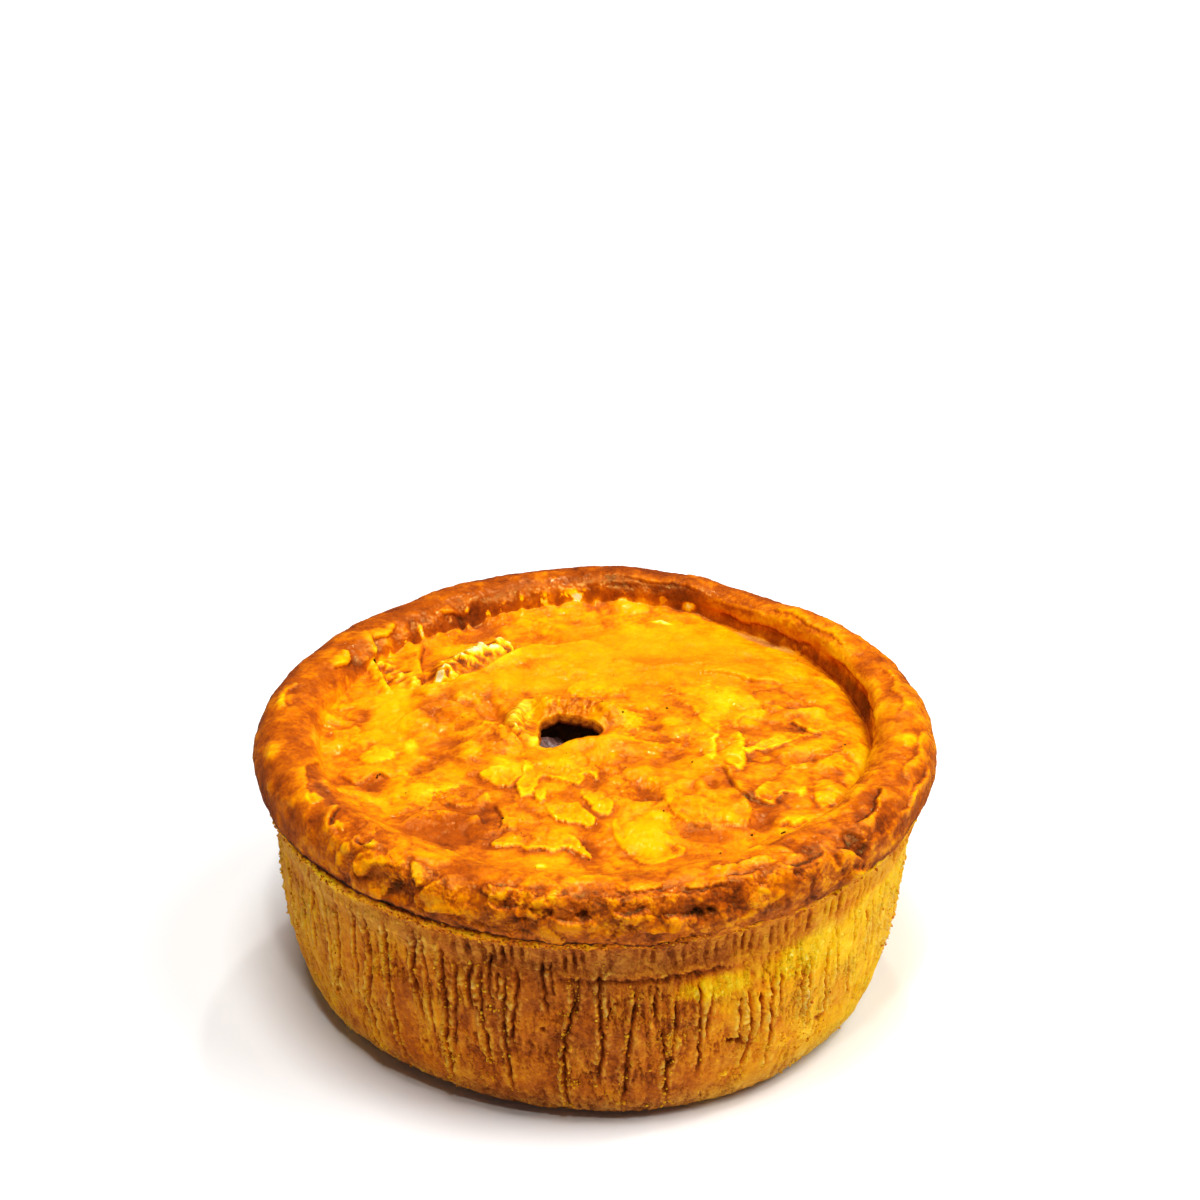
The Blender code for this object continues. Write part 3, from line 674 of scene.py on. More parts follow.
lidFlakes = [
    # outline, lift, hinge, rag, pale, dark
    ([(-19.6, -14.5), (-18.9, -17), (-17.1, -18.4), (-15.6, -18.8), (-14, -18.8), (-12.6, -16), (-10.5, -13.5),
      (-8.5, -10.6), (-13.5, -10.2), (-16, -12.6)], 0.5, 80, 0.6, -0.14, 0.18),
    ([(-13, -10.6), (-10.9, -11), (-4.9, -10.4), (-1.6, -8), (3.2, -8), (4.4, -10.4), (2.6, -12.2), (0.4, -11.2),
      (1.4, -14), (0.8, -16.8), (-1.3, -15.2), (-2.5, -19.4), (-4.2, -18), (-6.6, -17), (-9.2, -16.4), (-10.2, -21.2),
      (-12.6, -23), (-13.2, -18.6), (-12.2, -14)], 0.56, 85, 0.55, -0.16, 0.2),
    ([(-10.2, -19.6), (-10.2, -22.6), (-9.2, -24.2), (-8, -23.4), (-8.2, -20)], 0.56, 90, 0.45, -0.19, 0.24),
    ([(-8.6, -23.2), (-7.3, -27.7), (-5.5, -29.9), (-2.8, -30.4), (-1.1, -31.8), (0.6, -29.9), (-0.7, -27),
      (-2.5, -24.4), (-4.8, -24), (-6.6, -21.6)], 0.42, 110, 0.55, -0.19, 0.25),
    ([(-2.4, -19.9), (-0.4, -26), (2.6, -28), (3.4, -24.4), (1.3, -21.6), (-0.9, -20)], 0.38, 60, 0.55, -0.16, 0.22),
    ([(-17.4, -37), (-15, -37.8), (-12.5, -37.4), (-11.2, -38.9), (-8.6, -38.6), (-6.5, -39.1), (-4.4, -38.2), (-2.8, -39.4),
      (-0.2, -41.2), (-1.1, -38.2), (-4.2, -33.6), (-8.3, -31), (-12, -30.6), (-15.4, -33.4)], 0.6, 90, 0.6, -0.16, 0.36),
    ([(10, 16), (13, 11), (16, 9), (18, 5.5), (19, 3), (21.8, -0.4), (23.3, 2), (25.4, 1.8), (26.3, 5.2), (30, 4.6),
      (30, 9), (27, 14), (20, 17)], 0.43, 100, 0.7, -0.1, 0.1),
    ([(20.9, -0.8), (22.3, -1.8), (21.6, -3.7), (21.4, -7.7), (21, -11.2), (19.2, -8.9), (18.4, -5.3), (19.2, -1.8)], 0.5, 170, 0.45, -0.2, 0.22),
    ([(22.2, -5.3), (23.9, -1.4), (25.9, -0.8), (26.4, -3.2), (26.4, -9.9), (25.6, -13.9), (23.6, -12.2), (22.1, -8.7)], 0.6, 170, 0.45, -0.2, 0.24),
    ([(26, -6.6), (28.1, -4.3), (31.2, -2), (34, -1), (37, 0.4), (37, -1), (34, -3.5), (31.4, -5.2), (28.7, -6.2),
      (26.9, -7.8)], 0.42, 110, 0.6, -0.26, 0.26),
    ([(27.3, -8), (29, -7.2), (31, -8.6), (29.6, -10.4), (27.6, -9.8)], 0.31, 90, 0.55, -0.12, 0.12),
    ([(33, -7), (36.6, -6), (38, -9), (36, -12), (33, -11)], 0.25, 90, 0.65, -0.09, 0.07),
    ([(27.6, -20.3), (29.5, -17.7), (31.9, -15), (35.4, -15.3), (37.5, -14.1), (39.9, -15), (39.5, -17.9),
      (36.3, -19.3), (35.6, -22), (34.3, -20.2), (32.6, -20.5), (31, -24), (29.5, -23.5), (28.1, -22.5)], 0.62, 80, 0.6, -0.19, 0.2),
    ([(37.6, -19.6), (40, -17.4), (42, -18.8), (41.4, -22), (39.6, -24.4), (38, -22.4)], 0.37, 80, 0.65, -0.14, 0.18),
    ([(14.4, -16.7), (15.8, -15), (20, -13.7), (23.2, -14.3), (24.8, -20), (27.2, -23.7), (26.5, -30), (23.7, -31),
      (18.9, -31.2), (15.3, -30.2), (12.6, -25.3), (11.8, -20.6)], 0.56, 90, 0.45, -0.04, 0.16),
    ([(3.7, -28.7), (6.8, -27), (10.2, -28.3), (12.2, -31), (13.4, -35.3), (15.8, -38.7), (10.7, -43.9), (7.2, -41.9),
      (4.0, -36.7), (3.1, -32)], 0.3, 60, 0.3, -0.08, 0.16),
    ([(-41, -4.6), (-37.6, -3.6), (-34.6, -5.6), (-34.8, -8.6), (-37.6, -10.6), (-40.4, -9.2)], 0.31, 90, 0.65, -0.12, 0.07),
    ([(12, 1.5), (16, 2.4), (17.6, -1), (14.4, -3.4), (11.6, -1.6)], 0.25, 90, 0.7, -0.07, 0.08),
    ([(-24.6, -19.4), (-19.6, -19.8), (-17.4, -23.2), (-21, -24.6), (-25.4, -23.2)], 0.31, 90, 0.65, -0.09, 0.08),
    ([(-3, 17), (4, 18), (6, 13), (0, 11.4), (-5, 13)], 0.31, 90, 0.7, -0.07, 0.08),
    ([(2, 28), (11, 29.5), (20, 28), (18, 24.4), (8, 23)], 0.31, 90, 0.65, 0.07, 0.04),
]
for outline, lift, hinge, rag, pale, dark in lidFlakes:
    addFlake(lidPlan, outline, lift, hinge, 1.1 * rag, pale, dark)

# the ribbed roll at the back left: a sausage of pastry with small pale cross ribs, and a ruffled strip before it
rows, gap, run = addRidge(lidPlan, [(-28.6, 18.2), (-25.6, 22.0), (-20.5, 27.0), (-14.8, 32.0)], 2.0, 3.4, 0.2, taper=0.12,
                          bake=-0.02)
ribs = np.exp(-((gap / 2.8) ** 2)) * ease(np.minimum(run, 1 - run) / 0.08)
across = np.stack([run * 21 + 0.9 * torn[rows, 0], gap / 2.2, 0 * gap], axis=1)
ribWave = np.clip(0.1 + 1.7 * ripple(across, 1.0, 78), -0.35, 1.1)
patchy = np.clip(0.9 + 0.9 * ripple(base[rows], 3.0, 77), 0.3, 1.3)
# the ribs' crests are painted pale, partly their own colour and partly painted highlight, and the furrows between them
# darker, as painted shade
change(topSkin, rows, ribs * ribWave * patchy, lift=0.7, bake=-1.1, gloss=0.7)
rows, gap, run = addRidge(lidPlan, [(-38.6, 27.5), (-37.4, 23), (-34.4, 19), (-30.4, 16.4)], 0.6, 2.6, 0.5, taper=0.15)
ruffle = np.exp(-((gap / 2.6) ** 2)) * ease(np.minimum(run, 1 - run) / 0.1)
ruffleWave = ripple(base[rows] + 0.6 * torn[rows][:, :1], 1.5, 79)
change(topSkin, rows, ruffle * ruffleWave, lift=0.6, bake=-0.55, gloss=0.6)
change(topSkin, rows, ruffle, bake=-0.10, flaky=0.5)


def pleats(skin):
    # the back of the rim's inner slope is pinched into uneven upright pleats
    facing = skin["facing"]
    atBack = around(facing, [(40, 0.0), (70, 0.35), (85, 0.6), (100, 1.0), (132, 1.0), (150, 0.4), (170, 0.0), (-90, 0.0)])
    onSlope = ease((skin["section"] - 112) / 22) * ease((196 - skin["section"]) / 12)
    patchyShare = np.clip(0.7 + 1.1 * cloud(skin["base"], 6.0, 83, 2), 0, 1.2)
    phase = facing * 1.25 + 7.0 * cloud(skin["base"] * (1, 1, 0.35), 9.0, 81, 2) + 1.6 * skin["torn"][:, 0]
    wave = np.cos(phase)
    share = atBack * onSlope * patchyShare
    skin["lift"] += 0.32 * share * wave
    # the pleats' folds are painted a little darker and their crests paler, as shade and light
    skin["bake"] += share * (0.02 - 0.08 * wave)
    # the pleats' crests are painted pale in places, as glints on the glaze: painted highlights
    skin["bake"] -= 1.1 * share * ease((wave - 0.45) / 0.4) * ease((cloud(skin["base"], 2.2, 87, 3) - 0.05) / 0.12) * hump((skin["section"] - 153) / 26)
    skin["gloss"] += 1.0 * share


pleats(topSkin)

rimFolds = [
    ([(-165, 150), (-162, 118), (-159, 97), (-154, 86), (-149, 72), (-146, 70)], 0.35, 2.4, 0.5, -0.20, 0.08),
    ([(-144, 100), (-142, 70), (-140.5, 54), (-139.6, 66)], 0.8, 1.6, 0.3, -0.26, 0.3),
    ([(-134.6, 62), (-133, 54), (-130.6, 60), (-130.6, 78)], 0.8, 1.6, 0.3, -0.22, 0.35),
    ([(-108.6, 60), (-105.6, 52), (-102.4, 57)], 0.6, 2.0, 0.9, -0.08, 0.14),
    ([(-100.6, 50), (-97, 44), (-93.6, 52)], 0.6, 2.2, 0.9, -0.08, 0.14),
    ([(-107, 26), (-104.6, 18), (-101.6, 24)], 0.8, 1.8, 0.6, -0.16, 0.30),
    ([(-96, 8), (-92.6, 2), (-89.6, 10)], 0.7, 1.8, 0.7, -0.14, 0.26),
    ([(-90.6, 56), (-87.4, 46), (-84.6, 50), (-82, 44)], 0.6, 2.2, 0.9, -0.08, 0.14),
    ([(-87, 24), (-84.4, 16), (-81, 24)], 0.8, 1.8, 0.7, -0.16, 0.32),
    ([(-79.6, 58), (-77, 44), (-73.6, 46), (-70, 38)], 0.6, 2.2, 0.9, -0.10, 0.16),
    ([(-78.6, 14), (-75.6, 4), (-72.6, 8)], 0.7, 1.8, 0.6, -0.14, 0.3),
    ([(-70, 92), (-65, 84), (-61, 86), (-57.5, 78)], 0.5, 2.4, 0.4, -0.14, 0.22),
    ([(-67.6, 62), (-64, 54), (-61, 60)], 0.5, 2.0, 0.5, -0.10, 0.24),
    ([(-57.4, 66), (-57, 50), (-55, 40), (-52, 40), (-48, 46)], 0.8, 2.6, 0.4, -0.22, 0.34),
    ([(-46.6, 40), (-44.4, 30), (-43.2, 16), (-41.4, -2)], 0.9, 3.0, 0.35, -0.18, 0.45),
    ([(-45, 2), (-42.6, -6), (-40.6, -16)], 0.9, 1.6, 0.3, -0.3, 0.5),
    ([(-39.6, 62), (-36.4, 58), (-33.4, 60), (-31, 72), (-28.4, 76), (-27, 90)], 0.9, 3.0, 0.35, -0.22, 0.4),
    ([(-30, 30), (-26, 22), (-22, 34), (-17, 26), (-13, 34)], 0.6, 2.0, 0.5, -0.2, 0.26),
    ([(-22, 60), (-18, 70), (-14, 58), (-8, 62), (-4, 56)], 0.45, 2.4, 0.6, -0.18, 0.14),
    ([(0, 92), (5, 80), (9, 88), (14, 76), (19, 84)], 0.4, 2.4, 0.7, -0.14, 0.12),
    ([(-2, 150), (3, 140), (6, 144), (10, 152), (14, 140), (20, 148), (26, 142), (34, 152)], 0.4, 2.6, 0.6, -0.18, 0.16),
    ([(36, 162), (38.6, 150), (43, 158), (50, 148), (56, 156), (64, 146)], 0.4, 2.4, 0.8, -0.16, 0.16),
    ([(28, 104), (34, 96), (40, 102), (46, 92), (52, 98)], 0.4, 2.6, 0.7, -0.16, 0.10),
    ([(66, 116), (72, 108), (78, 112), (84, 102), (90, 106)], 0.35, 2.8, 0.6, -0.12, 0.08),
    ([(118, 130), (120, 142), (123, 132), (126, 126)], 0.45, 1.4, 0.4, -0.26, 0.14),
    ([(137, 112), (141, 124), (145, 116)], 0.5, 1.8, 0.4, -0.26, 0.14),
    ([(152, 104), (155, 128), (160, 112)], 0.6, 2.2, 0.4, -0.26, 0.16),
    ([(168, 88), (173, 74), (178, 84)], 0.4, 2.0, 0.4, -0.2, 0.14),
]
for line, lift, reach, rag, pale, dark in rimFolds:
    addFold(rimPlan, onRim(line), lift, reach, rag, pale, dark)

rimFlakes = [
    # outline in degrees round and degrees of section, lift, hinge, rag, pale, dark
    ([(-131.3, 19), (-132.6, 29), (-130.4, 48), (-128.2, 57), (-123.5, 65), (-122.5, 57), (-122.8, 48), (-124, 42), (-127.4, 34),
      (-128.4, 21), (-129.1, 13), (-130.8, 6)], 1.3, -90, 0.5, -0.10, 0.36),
    ([(-122, 61), (-121.1, 70), (-119.6, 71), (-117.9, 42), (-118.4, 28), (-119.6, 23), (-120.3, 35)], 1.0, -30, 0.4, -0.10, 0.30),
    ([(-119.6, 2), (-116.2, 47), (-114.9, 64), (-112.3, 67), (-110.1, 47), (-109.8, 18), (-111.5, 0), (-114.2, -2),
      (-116.7, -9), (-118.6, -2)], 1.1, -50, 0.5, -0.07, 0.30),
    ([(-134.4, 58), (-134, 80), (-130, 80), (-129.6, 58)], 0.6, -90, 0.5, -0.08, 0.2),
    ([(-102, 12), (-101.6, 34), (-99, 40), (-97.4, 28), (-98, 10)], 0.6, -90, 0.6, -0.2, 0.26),
    ([(-108, 44), (-107, 60), (-103.6, 58), (-103, 40), (-105.6, 30)], 0.7, -90, 0.6, -0.07, 0.22),
    ([(-86, 62), (-84, 82), (-79, 80), (-78, 62), (-82, 54)], 0.6, -90, 0.6, -0.08, 0.2),
    ([(-74, 52), (-73, 70), (-68.6, 72), (-67, 56), (-70, 46)], 0.6, -90, 0.6, -0.08, 0.2),
    ([(-83, -6), (-82, 10), (-78, 14), (-76, 2), (-79, -12)], 0.6, -90, 0.6, -0.06, 0.2),
]
for outline, lift, hinge, rag, pale, dark in rimFlakes:
    addFlake(rimPlan, onRim(outline), lift, hinge, rag, pale, dark)

# hollows where the crust has crumbled away: brown, partly the crust's own colour and partly painted shade in the
# hollow, and rough with grains
hollows = [
    # degrees round, degrees of section, half size in mm, lift, bake
    ((-124.4, 8), (4.6, 2.8), -1.3, 0.16),
    ((-98, 22), (2.2, 1.2), -0.9, 0.24),
    ((-91.6, 18), (1.0, 0.9), -0.9, 0.3),
    ((-72.4, 10), (2.6, 1.4), -1.0, 0.26),
    ((-106, -4), (5.0, 1.6), -0.5, 0.10),
    ((-86, 0), (4.0, 1.6), -0.5, 0.10),
]
for (degrees, section), size, lift, bake in hollows:
    rows, share = addSpot(rimPlan, onRim([(degrees, section)])[0], size, 0, 0.5, 0.8, lift=lift, bake=bake, gloss=-0.4, flaky=0.6)
    gap, owner = scatter(base[rows], 0.95, 97)
    change(topSkin, rows, share * ease(1.2 - gap / 0.5), lift=0.32)
    change(topSkin, rows, share * ease(1.2 - gap / 0.5) * (owner - 0.35), bake=-0.42)

rimPatches = [
    # degrees round, degrees of section, half size in mm, turn, edge, rag, lift, bake, dry, gloss
    ((-150, 100), (8, 1.6), 8, 0.7, 0.5, -0.3, 0.14, 0.3, 0.2),
    ((-168, 60), (4, 2.2), 0, 0.8, 0.6, 0.2, -0.22, 0, 0),
    ((-149, 80), (2.2, 1.6), 0, 0.6, 0.5, 0.3, -0.3, 0, 0),
    ((-160, 30), (2.6, 2.0), 0, 0.8, 0.6, 0.3, -0.24, 0, 0),
    ((-150.5, 30), (1.8, 2.0), 0, 0.8, 0.5, -0.3, 0.2, 0, 0),
    ((-75, 6), (4.0, 1.4), 0, 0.8, 0.6, -0.2, 0.16, 0, 0),
    ((-66, 36), (5.8, 3.0), -12, 0.3, 0.4, -0.3, 0.16, 0, 0.6),
    ((-54.5, 52), (2.8, 1.6), 0, 0.4, 0.4, 0.3, -0.2, 0, 0),
    ((-134.4, 38), (1.2, 1.4), 0, 0.6, 0.3, 0.4, -0.28, 0, 0),
    ((-135.4, 18), (1.0, 1.7), 0, 0.6, 0.3, 0.4, -0.30, 0, 0),
    ((-139.4, 68), (2.0, 0.8), 20, 0.6, 0.4, 0.3, -0.24, 0, 0),
    ((-98.4, 34), (1.8, 1.0), 0, 0.6, 0.5, 0.3, -0.24, 0, 0.4),
    ((-105.6, 32), (1.6, 1.4), 0, 0.6, 0.5, 0.3, -0.22, 0, 0.4),
    # the next three pale streaks are painted glints on the glaze
    ((-60.6, 4), (3.0, 0.7), -16, 0.7, 0.5, 0.3, -0.5, 0, 0.6),
    ((-64.6, -10), (2.2, 0.6), -12, 0.7, 0.5, 0.3, -0.45, 0, 0.5),
    ((-62, 22), (1.8, 0.6), 30, 0.7, 0.5, 0.3, -0.4, 0, 0.6),
    ((-58, 20), (4.4, 2.4), -10, 0.6, 0.5, 0.1, 0.10, 0, 0.5),
    ((-42, 38), (1.8, 3.2), -16, 0.4, 0.4, -0.6, 0.26, 0, 0.2),
    ((-33, 40), (5.0, 2.4), -12, 0.4, 0.5, -0.3, 0.2, 0, 0.2),
    ((-9, 78), (3.2, 2.4), 0, 0.8, 0.6, 0.2, -0.26, 0, 0),
    ((-22, 40), (4.0, 1.6), -14, 0.8, 0.6, 0.1, -0.2, 0, 0),
    ((10, 118), (5.0, 2.0), 8, 0.8, 0.6, 0.1, -0.16, 0, 0),
    ((58, 120), (8.0, 1.2), 0, 0.8, 0.4, 0.1, -0.18, 0, 0),
    ((82, 130), (9.0, 1.6), 0, 0.8, 0.5, -0.2, 0.08, 0, 0),
    ((123, 165), (9.0, 2.0), 0, 0.8, 0.6, -0.2, 0.08, 0, 0),
    # the next two pale spots are painted glints on the glaze
    ((84, 166), (1.3, 1.0), 0, 0.7, 0.5, 0.2, -1.0, 0, 0.5),
    ((69.5, 160), (1.7, 1.0), 0, 0.7, 0.5, 0.2, -1.0, 0, 0.5),
    ((156, 115), (4.4, 2.0), 0, 0.8, 0.6, 0.2, -0.26, 0, 0),
    ((175, 78), (4.0, 1.4), 0, 0.8, 0.5, 0.2, -0.24, 0, 0),
    ((49, 196), (9.0, 1.9), 0, 0.4, 0.3, -0.2, -0.04, 0.75, -0.2),
    # the next four darken the groove between the lid and the rim: painted shade
    ((20, 174), (34, 2.0), 0, 0.9, 0.3, -0.3, 0.38, 0, -0.1),
    ((-16, 174), (18, 1.0), 0, 0.6, 0.3, -0.5, 0.38, 0, -0.3),
    ((-38, 150), (10, 0.9), 0, 0.8, 0.3, -0.5, 0.30, 0, -0.2),
    ((64, 172), (16, 2.4), 0, 1.0, 0.3, -0.3, 0.24, 0, 0.1),
    ((-102, 60), (5.4, 0.9), 0, 0.7, 0.5, -0.3, 0.2, 0, 0.2),
    ((-60, -10), (4.0, 0.8), 0, 0.7, 0.6, 0.2, 0.0, 0.4, 0.2),
]
for (degrees, section), size, turn, edgeShare, rag, lift, bake, dry, gloss in rimPatches:
    at = onRim([(degrees, section)])[0]
    addSpot(rimPlan, at, size, turn, edgeShare, rag, lift=lift, bake=bake, dry=dry, gloss=gloss)

# the rim's lowest edge is painted dark where it meets the case, as shade in the gap between them, from the left round
# to the front
lastSection = around(facing, rimSection["endsAt"])
seamShare = around(facing, [(-172, 0.5), (-160, 1.0), (-80, 1.0), (-68, 0.4), (-50, 0.15), (90, 0.1), (150, 0.3)])
atSeam = ease((lastSection + 9 + 4 * torn[:, 0] - topSkin["section"]) / 8)
topSkin["bake"] += 0.9 * seamShare * atSeam
topSkin["gloss"] -= 0.6 * atSeam

# blisters where the glaze boiled: small round bumps in a few zones
blisterZone = np.zeros(topSkin["size"])
for centre, reach in (((9, -20), 8), ((6, 3), 7), ((-6, 7), 8), ((40, -20), 6), ((-28, 34), 10), ((20, 16), 6), ((14, -3), 7),
                      ((2, -22), 6), ((-6, -15), 6), ((28, -4), 7)):
    blisterZone = np.maximum(blisterZone, hump(np.hypot(base[:, 0] - centre[0], base[:, 1] - centre[1]) / reach))
blisterZone = np.maximum(blisterZone, 0.2 * rimShare + 0.15 * crumbly)
for cell, seed in ((1.35, 91), (0.8, 93)):
    gap, owner = scatter(base, cell, seed)
    blister = ease(1 - gap / (0.26 + 0.30 * owner)) * np.clip(1.3 * blisterZone - 0.4 * (1 - owner), 0, 1)
    topSkin["lift"] += 0.20 * cell * blister
    # the palest blisters stand for glints on the glaze: painted highlights
    topSkin["bake"] -= (0.05 + 0.18 * (owner > 0.75)) * blister
    topSkin["gloss"] += 0.4 * blister

# low at the front, where it lies in shade, the crust is painted darker and kept from the pale tones of the top: painted
# shade
lowFront = ease((55 - topSkin["section"]) / 30) * ease((topSkin["section"] + 60) / 10) * around(
    facing, [(-175, 0.6), (-110, 1.0), (-60, 1.0), (-30, 0.3), (0, 0.0), (150, 0.0), (170, 0.4)])
darkest = np.maximum(topSkin["bake"], 0.50)
topSkin["bake"] += lowFront * 0.9 * (darkest - topSkin["bake"])

# smooth glazed places that took one even colour
calmPlaces = [
    # place, half size, turn, bake it settles at
    ((-25.6, -32.4), (8.2, 5.0), -8, 0.645),
    ((19.4, -33.8), (5.6, 2.6), -6, 0.63),
    ((-18.4, 5), (2.8, 5.6), 15, 0.55),
    ((9, -35.6), (4.4, 6.4), 12, 0.28),
    ((12, 27), (30, 15), 0, 0.42),
    ((-12, 17), (9, 5), 0, 0.38),
    ((12, 25.5), (7, 2.6), 0, 0.52),
    ((-36, 6), (5, 14), 0, 0.28),
]
for at, size, turn, bake in calmPlaces:
    rows, share = addSpot(lidPlan, at, size, turn, 0.45, 0.35)
    topSkin["bake"][rows] += 0.65 * share * (bake - topSkin["bake"][rows])

print("shaping the case")

caseShape = {
    "collarRows": 52,
    "wallRows": 116,
    "splitRow": 60,  # the wall is made as two pieces that meet at this row
    # how much further out the foot stands than a true circle
    "spread": [(-178, -0.3), (-150, -0.4), (-120, -0.3), (-98, 0.2), (-80, 1.0), (-58, 0.8), (-38, -0.3), (-12, -1.2), (20, -1.2),
               (60, -0.6), (120, -0.6)],
    # outline of the case from under the rim to the base: radius, height
    "collar": [(55.2, 41.0), (57.6, 40.7), (58.5, 40.2), (58.4, 39.6), (57.7, 38.8), (56.9, 37.6), (56.4, 36.2), (56.2, 34.8),
               (56.2, 33.6), (56.4, 32.7), (56.6, 32.0)],
    "wall": [(56.6, 32.0), (56.5, 30.0), (56.3, 26.0), (55.9, 21.0), (55.1, 15.0), (54.0, 9.5), (52.8, 5.2),
             (51.6, 2.5), (50.2, 1.0), (48.2, 0.45), (45.4, 0.25), (43.0, 0.0)],
}


def profileArray(points, count):
    # evenly spaced places along a soft curve through the outline's points
    curve = smoothLine(points, 12)
    run = np.concatenate([[0], np.cumsum(np.linalg.norm(np.diff(curve, axis=0), axis=1))])
    at = np.linspace(0, run[-1], count)
    return np.interp(at, run, curve[:, 0]), np.interp(at, run, curve[:, 1])


def turnProfile(radius, height):
    # one ring of columns for each outline point, and the outward direction square to the outline
    degrees = np.tile(ringAngles(caseColumns // 8), len(radius))
    cosine, sine = np.cos(np.radians(degrees)), np.sin(np.radians(degrees))
    r, z = np.repeat(radius, caseColumns), np.repeat(height, caseColumns)
    r = r + around(degrees, rimSection["reach"]) * ease((z - 8) / 30)
    r = r + around(degrees, caseShape["spread"]) * ease((38 - z) / 16) * ease((r - 34) / 12)
    slopeR, slopeZ = np.gradient(radius), np.gradient(height)
    size = np.hypot(slopeR, slopeZ)
    outR, outZ = np.repeat(-slopeZ / size, caseColumns), np.repeat(slopeR / size, caseColumns)
    base = np.stack([r * cosine, r * sine, z], axis=1)
    out = np.stack([outR * cosine, outR * sine, outZ], axis=1)
    return base, out, degrees


collarR, collarZ = profileArray(caseShape["collar"], caseShape["collarRows"])
wallR, wallZ = profileArray(caseShape["wall"], caseShape["wallRows"])
caseR, caseZ = np.concatenate([collarR, wallR[1:]]), np.concatenate([collarZ, wallZ[1:]])
caseBase, caseOut, caseFacing = turnProfile(caseR, caseZ)
# the foot is rounder at the left, where the pie lifts a little off the table
footR = np.repeat(caseR, caseColumns)
onFoot = ease((footR - 43.0) / 4) * ease((54.6 - footR) / 4) * (caseBase[:, 2] < 12)
caseBase[:, 2] += onFoot * around(caseFacing, [(-178, 0.4), (-150, 0.9), (-128, 1.1), (-112, 0.7), (-98, 0.2), (-60, 0.0), (-30, 0.4), (0, 0.8), (90, 0.6)])
caseSkin = makeSkin(caseBase, caseOut)
caseSkin["facing"] = caseFacing
caseSkin["height"] = caseBase[:, 2]
wallDegree = 0.98  # mm of wall to a degree
wallPlan = makePlan(caseSkin, caseFacing * wallDegree, caseBase[:, 2], 360 * wallDegree)


def onWall(line):
    return [(degrees * wallDegree, height) for degrees, height in line]


height = caseSkin["height"]
wallTop = ease((height - 31.0) / 2.5)
wallOnly = 1 - wallTop
low = ease((8 - height) / 8)
caseTorn = caseSkin["torn"]
caseSkin["bake"] += 0.57 + 0.10 * cloud(caseBase, 8.0, 401, 3) - 0.05 * low
caseMarble = cloud(caseBase * (1, 1, 0.4) + 0.9 * caseTorn[:, :1] * (1, 1, 0) + 0.9 * caseTorn[:, 1:] * (0, 0, 1), 4.0, 407, 4, 0.65)
caseSkin["bake"] += 0.06 * (ease((caseMarble - 0.08) / 0.12) - 0.35 - 0.7 * ease((-caseMarble - 0.2) / 0.12))
# round the right side the case is painted paler, as the light that falls there, and at the front darker, as shade under
# the rim: painted light and shade over its own tone
caseSkin["bake"] += wallTop * around(caseFacing, [(-170, -0.14), (-128, -0.08), (-108, 0.08), (-75, 0.08), (-58, -0.02), (-35, -0.14),
                                                  (20, -0.16), (60, -0.02), (120, 0.02)])
caseSkin["bake"] += wallOnly * around(caseFacing, [(-170, -0.16), (-150, -0.14), (-125, -0.01), (-105, 0.08), (-80, 0.05),
                                                   (-62, -0.12), (-45, -0.32), (-20, -0.42), (20, -0.32), (60, -0.12),
                                                   (120, -0.02)])
greyTop = around(caseFacing, [(-170, 0.2), (-125, 0.3), (-108, 0.26), (-72, 0.22), (-52, 0.05), (0, 0.05), (60, 0.25), (120, 0.3)])
caseSkin["dry"] += 0.25 + 0.55 * low + greyTop * wallTop + 0.2 * cloud(caseBase, 7.0, 403, 2)
caseSkin["dry"] += around(caseFacing, [(-175, -0.1), (-150, -0.14), (-128, -0.14), (-90, 0.0), (-60, -0.15), (-20, -0.22), (60, -0.1),
                                       (120, 0.2)])
caseSkin["gloss"] += 0.25 * wallOnly

# the wall's panels are a little lumpy, finely wrinkled upright, with pores and stuck crumbs; raised places are painted
# paler, and the wrinkles and pores darker, as light and shade
upright = caseBase * (1, 1, 0.13) + 0.5 * caseTorn[:, :1] * (1, 1, 0)
wrinkle = np.abs(cloud(upright, 1.7, 411, 3, 0.6))
fineWrinkle = np.abs(cloud(upright, 0.9, 415, 2, 0.6))
wrinkleZone = np.clip(0.55 + 1.0 * cloud(caseBase, 8.0, 417, 2), 0.05, 1.2) * wallOnly
pore, poreOwner = scatter(caseBase, 1.1, 421)
bumpy = cloud(caseBase, 3.4, 431, 4, 0.6)
bulge = cloud(caseBase * (1, 1, 0.5), 5.0, 435, 2)
caseSkin["lift"] += 0.26 * bumpy + 0.24 * bulge * wallOnly
caseSkin["lift"] -= 0.42 * wrinkleZone * (1 - ease(wrinkle / 0.22)) + 0.12 * wrinkleZone * (1 - ease(fineWrinkle / 0.3))
caseSkin["bake"] += -0.08 * bumpy - 0.07 * bulge + wrinkleZone * (0.26 * (1 - ease(wrinkle / 0.14)) - 0.10 * ease((wrinkle - 0.25) / 0.3))
pit = ease(1 - pore / 0.30) * (poreOwner > 0.74)
caseSkin["lift"] -= 0.30 * pit
caseSkin["bake"] += 0.20 * pit
crumb = ease(1 - pore / 0.34) * (poreOwner < 0.16)
caseSkin["lift"] += 0.22 * crumb
caseSkin["bake"] -= 0.22 * crumb


